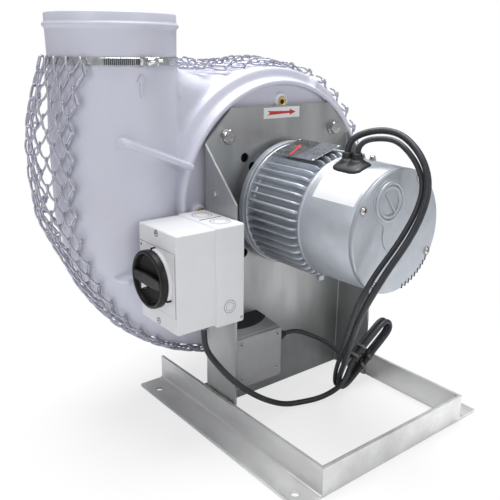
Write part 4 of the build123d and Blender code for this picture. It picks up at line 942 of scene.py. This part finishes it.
# rubber boot with two sleeves
def boot():
    V, F = [], []
    nu, nv = 40, 24
    a0, a1, y0, y1 = 96.8, 120.2, -177.5, -130.5
    for i in range(nu + 1):
        for j in range(nv + 1):
            u, v = i / nu, j / nv
            a = math.radians(a0 + (a1 - a0) * u)
            y = y0 + (y1 - y0) * v
            e = min(u, 1 - u, 0.5) * 2
            g = min(v, 1 - v, 0.5) * 2
            edge = math.sqrt(max(0.0, 1 - abs(2 * u - 1) ** 3.4 - abs(2 * v - 1) ** 3.4))
            x0, z0 = 80.0 * math.cos(a), AZ + 80.0 * math.sin(a)
            h = 3.6 * edge
            for sx, sy_, r_ in ((-21.0, -144.0, 8.8), (-21.0, -160.0, 8.2)):
                d = math.hypot(x0 - sx, y - sy_)
                h = max(h, 3.6 * edge + 4.2 * math.exp(-(max(0.0, d - r_ + 3.0) / 4.0) ** 2) * edge)
            r = 76.4 + 2.2 * min(1.0, edge * 5.0) + h
            V.append((r * math.cos(a), y + SY, AZ + r * math.sin(a)))
    q = nv + 1
    for i in range(nu):
        for j in range(nv):
            F.append((i * q + j, i * q + j + 1, (i + 1) * q + j + 1, (i + 1) * q + j))
    o = add("boot_pad", V, F, "rubber", sharp=0, replaces=("cable_boot",))
    return o


boot()
lathe("boot_sleeve_a", [(4.0, 366.0), (9.4, 366.0), (8.2, 371.5), (7.3, 374.6), (6.9, 381.5), (6.6, 383.0), (5.9, 383.9), (4.0, 384.0)], "rubber", axis="z", c=(-21.0, SY - 144.0), seg=48, sharp=50)
lathe("boot_sleeve_b", [(3.2, 364.0), (8.6, 364.0), (7.6, 371.0), (6.6, 374.6), (6.1, 381.5), (5.8, 383.0), (5.1, 383.9), (3.2, 384.0)], "rubber", axis="z", c=(-21.0, SY - 160.0), seg=48, sharp=50)

# small screws beside the boot
for i, y in enumerate((-141.0, -158.0)):
    x, z = pol(78.2, 84)
    lathe("boot_screw_%d" % i, [(0, z + 6.4), (2.4, z + 6.3), (3.4, z + 5.3), (3.6, z + 2.6), (4.4, z + 2.4), (4.4, z - 1.0), (0, z - 1.0)], "steel", axis="z", c=(x, SY + y), seg=32,
          closed=False, replaces=("boot_screws",) if i == 0 else ())
# earth lug under the fins
rbox("earth_lug", -24.0, -15.0, SY - 108.0, SY - 101.0, AZ - 87.2, AZ - 80.0, "alu", bevel=0.8)

# ------------------------------------------------------------------ isolator box
KY, KZ = SY - 41.0, 238.0
rbox("isolator_base", -175.0, -132.1, SY - 85.0, SY + 2.0, 170.8, 300.0, "white", bevel=3.2, seg=5, replaces=("switch_base",))
rbox("isolator_lid", -231.3, -176.0, SY - 84.3, SY + 0.7, 175.3, 298.7, "white", bevel=2.2, seg=5, replaces=("switch_lid",))
rbox("isolator_seam", -177.0, -174.0, SY - 83.6, SY - 0.2, 176.0, 298.0, "white", bevel=0.3)
# grey bar on the box top: painted shade of a shallow recess
rbox("isolator_top_notch", -171.0, -138.0, SY - 44.5, SY - 40.5, 299.6, 300.06, "grey", bevel=0.2)
rbox("isolator_plate", -232.1, -231.0, SY - 80.8, SY - 1.8, 197.2, 276.6, "white", bevel=0.35, replaces=("switch_label_plate",))
for i, z in enumerate((293.4, 181.8)):
    # grey ring round the lid screw: painted shade of its well
    lathe("lid_screw_well_%d" % i, [(0, -231.36), (3.7, -231.36), (4.3, -231.42), (4.5, -231.2)], "grey", axis="x", c=(KY, z), seg=40, closed=False)
    lathe("lid_screw_%d" % i, [(0, -231.6), (2.7, -231.55), (3.1, -231.3), (3.1, -230.5), (0, -230.5)], "steel", axis="x", c=(KY, z), seg=32, closed=False,
          replaces=("switch_lid_screws",) if i == 0 else ())
    prism("lid_screw_slot_%d" % i, [(KY - 2.4, z - 0.5), (KY + 2.4, z - 0.5), (KY + 2.4, z + 0.5), (KY - 2.4, z + 0.5)], "x", -231.66, -231.2, "hole", sharp=20)
lathe("plate_hole", [(0, -232.16), (1.7, -232.16), (1.7, -231.9)], "hole", axis="x", c=(SY - 5.6, 272.2), seg=24, closed=False)
lathe("isolator_collar", [(20, -232.0), (37.0, -232.0), (37.0, -236.3), (36.3, -237.3), (35.2, -237.6), (20, -237.6)], "white", axis="x", c=(KY, KZ), seg=120, sharp=50,
      replaces=("switch_collar",))
# knob: rim, deep dish and a diagonal grip, with a white pointer
XK = -238.0
lathe("knob_dish", [(0, XK - 0.8), (28.5, XK - 0.8), (30.0, XK - 2.0), (31.0, XK - 7.0), (31.6, XK - 8.2), (32.3, XK - 8.6), (34.3, XK - 8.6), (35.4, XK - 7.8), (35.9, XK - 6.2), (35.9, XK), (0, XK)],
      "black", axis="x", c=(KY, KZ), seg=120, sharp=50, closed=False, body="knob", replaces=("switch_knob",))
grip = []
ga = 0.0


def knob_pt(s, w):
    """s along the grip (upper left to lower right as the box is faced), w across"""
    return (KY - s * math.cos(ga) + w * math.sin(ga), KZ - s * math.sin(ga) - w * math.cos(ga))


outl = []
for i in range(9):
    t = math.pi * i / 8
    outl.append((31.0 - 2.0 + 2.0 * math.sin(t), 7.0 * math.cos(t)))
g1 = [(29.5, 6.0), (31.2, 3.0), (31.6, 0.0), (31.2, -3.0), (29.5, -6.0), (12.0, -7.4), (0, -8.0), (-12.0, -7.4), (-29.5, -6.0), (-31.2, -3.0), (-31.6, 0), (-31.2, 3.0), (-29.5, 6.0), (-12.0, 7.4),
      (0, 8.0), (12.0, 7.4)]
prism("knob_grip", [knob_pt(*p) for p in g1], "x", XK - 1.0, XK - 8.8, "black", bevel=1.6, seg=4, body="knob")
tri_ = [(29.0, 0.0), (21.0, 4.2), (21.0, -4.2)]
lathe("knob_floor", [(0, XK - 0.95), (28.4, XK - 0.95), (28.4, XK - 0.8)], "hole", axis="x", c=(KY, KZ), seg=80, closed=False, body="knob")
prism("knob_lug", [knob_pt(*p) for p in ((-27.0, 5.0), (-2.0, 5.0), (-6.0, 13.5), (-23.0, 19.0))], "x", XK - 0.8, XK - 5.0, "black", bevel=0.5, body="knob")
prism("knob_pointer", [knob_pt(*p) for p in ((-18.3, 9.0), (-18.9, 16.6), (-5.5, 10.0))], "x", XK - 4.9, XK - 5.3, "white", sharp=20, body="knob")
for i, a in enumerate((88.0, -147.0)):
    cy_, cz_ = KY + 37.2 * math.cos(math.radians(a)), KZ + 37.2 * math.sin(math.radians(a))
    rbox("knob_tab_%d" % i, -238.6, -232.4, cy_ - 1.3, cy_ + 1.3, cz_ - 1.1, cz_ + 1.1, "black", bevel=0.4)
rbox("plate_line", -231.5, -231.2, SY - 81.3, SY - 1.3, 196.7, 277.1, "grey", bevel=0.05)
# knock-outs: thin grey rings drawn as painted shade in the moulded grooves and the pin dimple
def painted_groove_ring(name, axis, c, r, t, m="grey", w=0.35, h=0.06, seg=56, **kw):
    return lathe(name, [(r - w, t), (r + w, t), (r + w, t + h), (r - w, t + h)], m, axis=axis, c=c, seg=seg, shift=0.0, sharp=30, **kw)


lathe("knock_out_front", [(9.2, SY - 85.28), (10.6, SY - 85.28), (10.9, SY - 84.9), (8.9, SY - 84.9)], "white", axis="y", c=(-155.5, 196.0), seg=64, shift=0.0, sharp=40)
painted_groove_ring("knock_out_line", "y", (-155.5, 196.0), 8.4, SY - 85.12)
painted_groove_ring("knock_out_inner", "y", (-155.5, 196.0), 5.6, SY - 85.10, w=0.25)
painted_groove_ring("base_pin", "y", (-137.0, 177.6), 1.5, SY - 85.14, w=0.5)
for i, (x, y) in enumerate(((-153.5, SY - 62.0), (-153.5, SY - 23.0))):
    painted_groove_ring("knock_out_top_%d" % i, "z", (x, y), 12.5, 300.02, w=0.5, m="grey", h=0.05)
    painted_groove_ring("knock_out_top_in_%d" % i, "z", (x, y), 9.0, 300.02, w=0.3, m="grey", h=0.05)
GX, GY = -160.0, SY - 34.0
lathe("isolator_gland", [(4.1, 148.9), (5.5, 148.9), (6.0, 149.6), (8.0, 160.8), (8.3, 161.8), (10.2, 162.2), (10.8, 163.0), (10.8, 167.5), (10.2, 168.3), (10.2, 170.9), (4.1, 170.9)], "grey", axis="z",
      c=(GX, GY), seg=48, sharp=35, replaces=("switch_gland",))

# ------------------------------------------------------------------ small die-cast box
X0, X1, Z0, Z1 = -122.5, -42.5, 53.5, 128.0
V = []
for x in (X0, X1):
    for y, z in ((SY - 0.02, Z0), (SY - 52.3, Z0), (SY - 52.3, Z1 + 0.8), (SY - 0.02, Z1 + 7.0)):
        V.append((x, y, z))
add("control_body", V, [(0, 1, 2, 3), (7, 6, 5, 4), (0, 4, 5, 1), (1, 5, 6, 2), (2, 6, 7, 3), (3, 7, 4, 0)], "boxalu", bevel=2.2, seg=4, replaces=("control_box",))
rbox("control_lid", X0 + 0.1, X1 - 0.1, SY - 57.0, SY - 52.8, Z0 + 0.1, Z1 - 0.1, "boxalu", bevel=1.6, seg=4, replaces=("control_box_lid",))
rbox("control_seam", X0 + 0.9, X1 - 0.9, SY - 53.2, SY - 51.9, Z0 + 0.9, Z1 - 0.9, "hole", bevel=0.3)
first = True
for x in (-114.0, -51.0):
    for z in (68.8, 119.8):
        # darker ring round the lid screw: painted shade of its well
        lathe("control_screw_well_%d_%d" % (x, z), [(0, -57.03), (3.8, -57.03), (4.3, -57.1), (4.6, -56.9)], "alu_well_shade", c=(x, z), seg=36, closed=False)
        lathe("control_screw_%d_%d" % (x, z), [(0, -57.2), (1.4, -57.2), (1.5, -57.6), (2.9, -57.6), (3.2, -57.3), (3.2, -56.5), (0, -56.5)], "steel", c=(x, z), seg=32, closed=False, sharp=30,
              replaces=("control_box_screws",) if first else ())
        lathe("control_screw_hex_%d_%d" % (x, z), [(0, -57.3), (1.45, -57.3), (1.45, -57.1)], "hole", c=(x, z), seg=6, closed=False)
        first = False
lathe("control_grommet", [(3.2, -26.0), (4.3, -26.0), (4.7, -26.3), (8.6, -37.4), (9.3, -38.4), (9.5, -39.0), (9.5, -42.4), (3.2, -42.4)], "rubber", axis="x", c=(SY - 43.0, 108.0), seg=48,
      sharp=35, replaces=("control_box_gland",))

# ------------------------------------------------------------------ cable ties
HA, HB = (69.0, 17.3), (157.0, 78.5)
ct, st_ = (HB[0] - HA[0]), (HB[1] - HA[1])
hl = math.hypot(ct, st_)
ct, st_ = ct / hl, st_ / hl
first = True
for t in (38.0, 56.0):
    V, F = [], []
    prof = rrect(-18.0, 18.0, -19.9, -1.9, 4.5, 6)
    profi = rrect(-17.1, 17.1, -19.0, -2.8, 3.6, 6)
    n = len(prof)
    for P_ in (prof, profi):
        for e in (-2.2, 2.2):
            for w, y in P_:
                V.append((HA[0] + (t + e) * ct - w * st_, y, HA[1] + (t + e) * st_ + w * ct))
    for i in range(n):
        k = (i + 1) % n
        F += [(i, k, n + k, n + i), (2 * n + i, 3 * n + i, 3 * n + k, 2 * n + k), (i, 2 * n + i, 2 * n + k, k), (n + i, n + k, 3 * n + k, 3 * n + i)]
    add("tie_band_%d" % t, V, F, "tie", sharp=40, replaces=("cable_ties",) if first else ())
    hx, hz = HA[0] + t * ct - 6 * st_, HA[1] + t * st_ + 6 * ct
    V = []
    for e in (-3.0, 3.0):
        for w in (-3.6, 3.6):
            for y in (-24.0, -19.6):
                V.append((hx + e * ct - w * st_, y, hz + e * st_ + w * ct))
    add("tie_head_%d" % t, V, [(0, 1, 3, 2), (4, 6, 7, 5), (0, 4, 5, 1), (2, 3, 7, 6), (0, 2, 6, 4), (1, 5, 7, 3)], "black", bevel=0.7)
    first = False

# ------------------------------------------------------------------ weld runs on the rails
def weld_run(name, p0, p1, r, n, first=False):
    V, F = [], []
    rr = random.Random(int(abs(p0[0]) + p0[1] + n))
    p0, p1 = Vector(p0), Vector(p1)
    d = (p1 - p0)
    seg = 10
    up_ = Vector((0, 0, 1))
    side = d.normalized().cross(up_)
    for k in range(n * 4 + 1):
        t = k / (n * 4)
        c = p0 + d * t
        rad = r * (0.82 + 0.2 * abs(math.sin(math.pi * t * n)) + rr.uniform(-0.06, 0.06))
        for i in range(seg):
            a = math.pi * 2 * i / seg
            V.append(tuple(c + side * (rad * math.cos(a)) + up_ * (rad * 0.75 * math.sin(a))))
    for k in range(n * 4):
        for i in range(seg):
            F.append((k * seg + i, k * seg + (i + 1) % seg, (k + 1) * seg + (i + 1) % seg, (k + 1) * seg + i))
    F.append(tuple(range(seg)))
    F.append(tuple(range(n * 4 * seg, n * 4 * seg + seg)))
    return add(name, V, F, "weld", sharp=0, replaces=("weld_beads",) if first else ())


weld_run("weld_left", (-134.2, 2.0, 40.6), (-134.2, 60.0, 40.6), 2.9, 17, True)
weld_run("weld_right", (134.2, 2.0, 40.6), (134.2, 60.0, 40.6), 2.9, 17)
weld_run("weld_foot_left", (-129.6, 66.8, 41.2), (-134.6, 66.8, 41.2), 2.2, 3)
for s in (-1, 1):
    V, F = [], []
    rr = random.Random(3 + s)
    for k in range(33):
        z = 7.0 + 31.0 * k / 32
        rad = 2.8 * (0.85 + 0.2 * abs(math.sin(k * 0.9)) + rr.uniform(-0.05, 0.05))
        for i in range(10):
            a = 2 * math.pi * i / 10
            V.append((s * 130.8 + rad * math.cos(a), -170.8 + rad * math.sin(a), z))
    for k in range(32):
        for i in range(10):
            F.append((k * 10 + i, k * 10 + (i + 1) % 10, (k + 1) * 10 + (i + 1) % 10, (k + 1) * 10 + i))
    F += [tuple(range(10)), tuple(range(320, 330))]
    add("weld_corner_%d" % (s + 1), V, F, "weld", sharp=0)

# ------------------------------------------------------------------ floor and light
fm = bpy.data.materials.new("pale_floor")
fm.use_nodes = True
fn, fl = fm.node_tree.nodes, fm.node_tree.links
fb = fn["Principled BSDF"]
fb.inputs["Base Color"].default_value = (0.86, 0.86, 0.865, 1)
fb.inputs["Roughness"].default_value = 0.85
em = fn.new("ShaderNodeEmission")
em.inputs["Color"].default_value = (1, 1, 1, 1)
em.inputs["Strength"].default_value = 1.0
tcf = fn.new("ShaderNodeTexCoord")
ln = fn.new("ShaderNodeVectorMath")
ln.operation = "LENGTH"
fl.new(tcf.outputs["Object"], ln.inputs[0])
fr = fn.new("ShaderNodeMapRange")
fr.interpolation_type = "SMOOTHSTEP"
fr.inputs["From Min"].default_value, fr.inputs["From Max"].default_value = 0.15, 0.7
fr.inputs["To Min"].default_value = 0.7
fl.new(ln.outputs["Value"], fr.inputs["Value"])
ms = fn.new("ShaderNodeMixShader")
flp = fn.new("ShaderNodeLightPath")
fmul = fn.new("ShaderNodeMath")
fmul.operation = "MULTIPLY"
fl.new(fr.outputs["Result"], fmul.inputs[0])
fl.new(flp.outputs["Is Camera Ray"], fmul.inputs[1])
fl.new(fmul.outputs["Value"], ms.inputs["Fac"])
fl.new(fb.outputs["BSDF"], ms.inputs[1])
fl.new(em.outputs["Emission"], ms.inputs[2])
fl.new(ms.outputs["Shader"], fn["Material Output"].inputs["Surface"])
fme = bpy.data.meshes.new("floor")
fme.from_pydata([(-6, -6, 0), (6, -6, 0), (6, 6, 0), (-6, 6, 0)], [], [(0, 1, 2, 3)])
fo = bpy.data.objects.new("floor", fme)
fo.location.z = -0.0004
scene.collection.objects.link(fo)
fme.materials.append(fm)

w = bpy.data.worlds.new("studio")
scene.world = w
w.use_nodes = True
wn, wl = w.node_tree.nodes, w.node_tree.links
bg = wn["Background"]
bg.inputs["Color"].default_value = (0.97, 0.98, 1.0, 1)
bg.inputs["Strength"].default_value = 0.34
bw = wn.new("ShaderNodeBackground")
bw.inputs["Color"].default_value = (1, 1, 1, 1)
bw.inputs["Strength"].default_value = 1.0
lp = wn.new("ShaderNodeLightPath")
mw = wn.new("ShaderNodeMixShader")
wl.new(lp.outputs["Is Camera Ray"], mw.inputs["Fac"])
wl.new(bg.outputs["Background"], mw.inputs[1])
wl.new(bw.outputs["Background"], mw.inputs[2])
wl.new(mw.outputs["Shader"], wn["World Output"].inputs["Surface"])


def area(name, loc, size, power, target=(0, 0.05, 0.28), col=(1, 1, 1)):
    d = bpy.data.lights.new(name, "AREA")
    d.shape, d.size, d.energy, d.color = "DISK", size, power, col
    o = bpy.data.objects.new(name, d)
    scene.collection.objects.link(o)
    o.location = loc
    o.rotation_euler = (Vector(target) - Vector(loc)).to_track_quat("-Z", "Y").to_euler()
    return o


area("top", (0.1, 0.3, 2.2), 1.7, 62)
area("key", (-2.2, -0.6, 1.3), 1.0, 10)
area("fill", (0.7, -2.1, 1.1), 1.1, 10)
scene.view_settings.view_transform = "Standard"
scene.view_settings.look = "None"
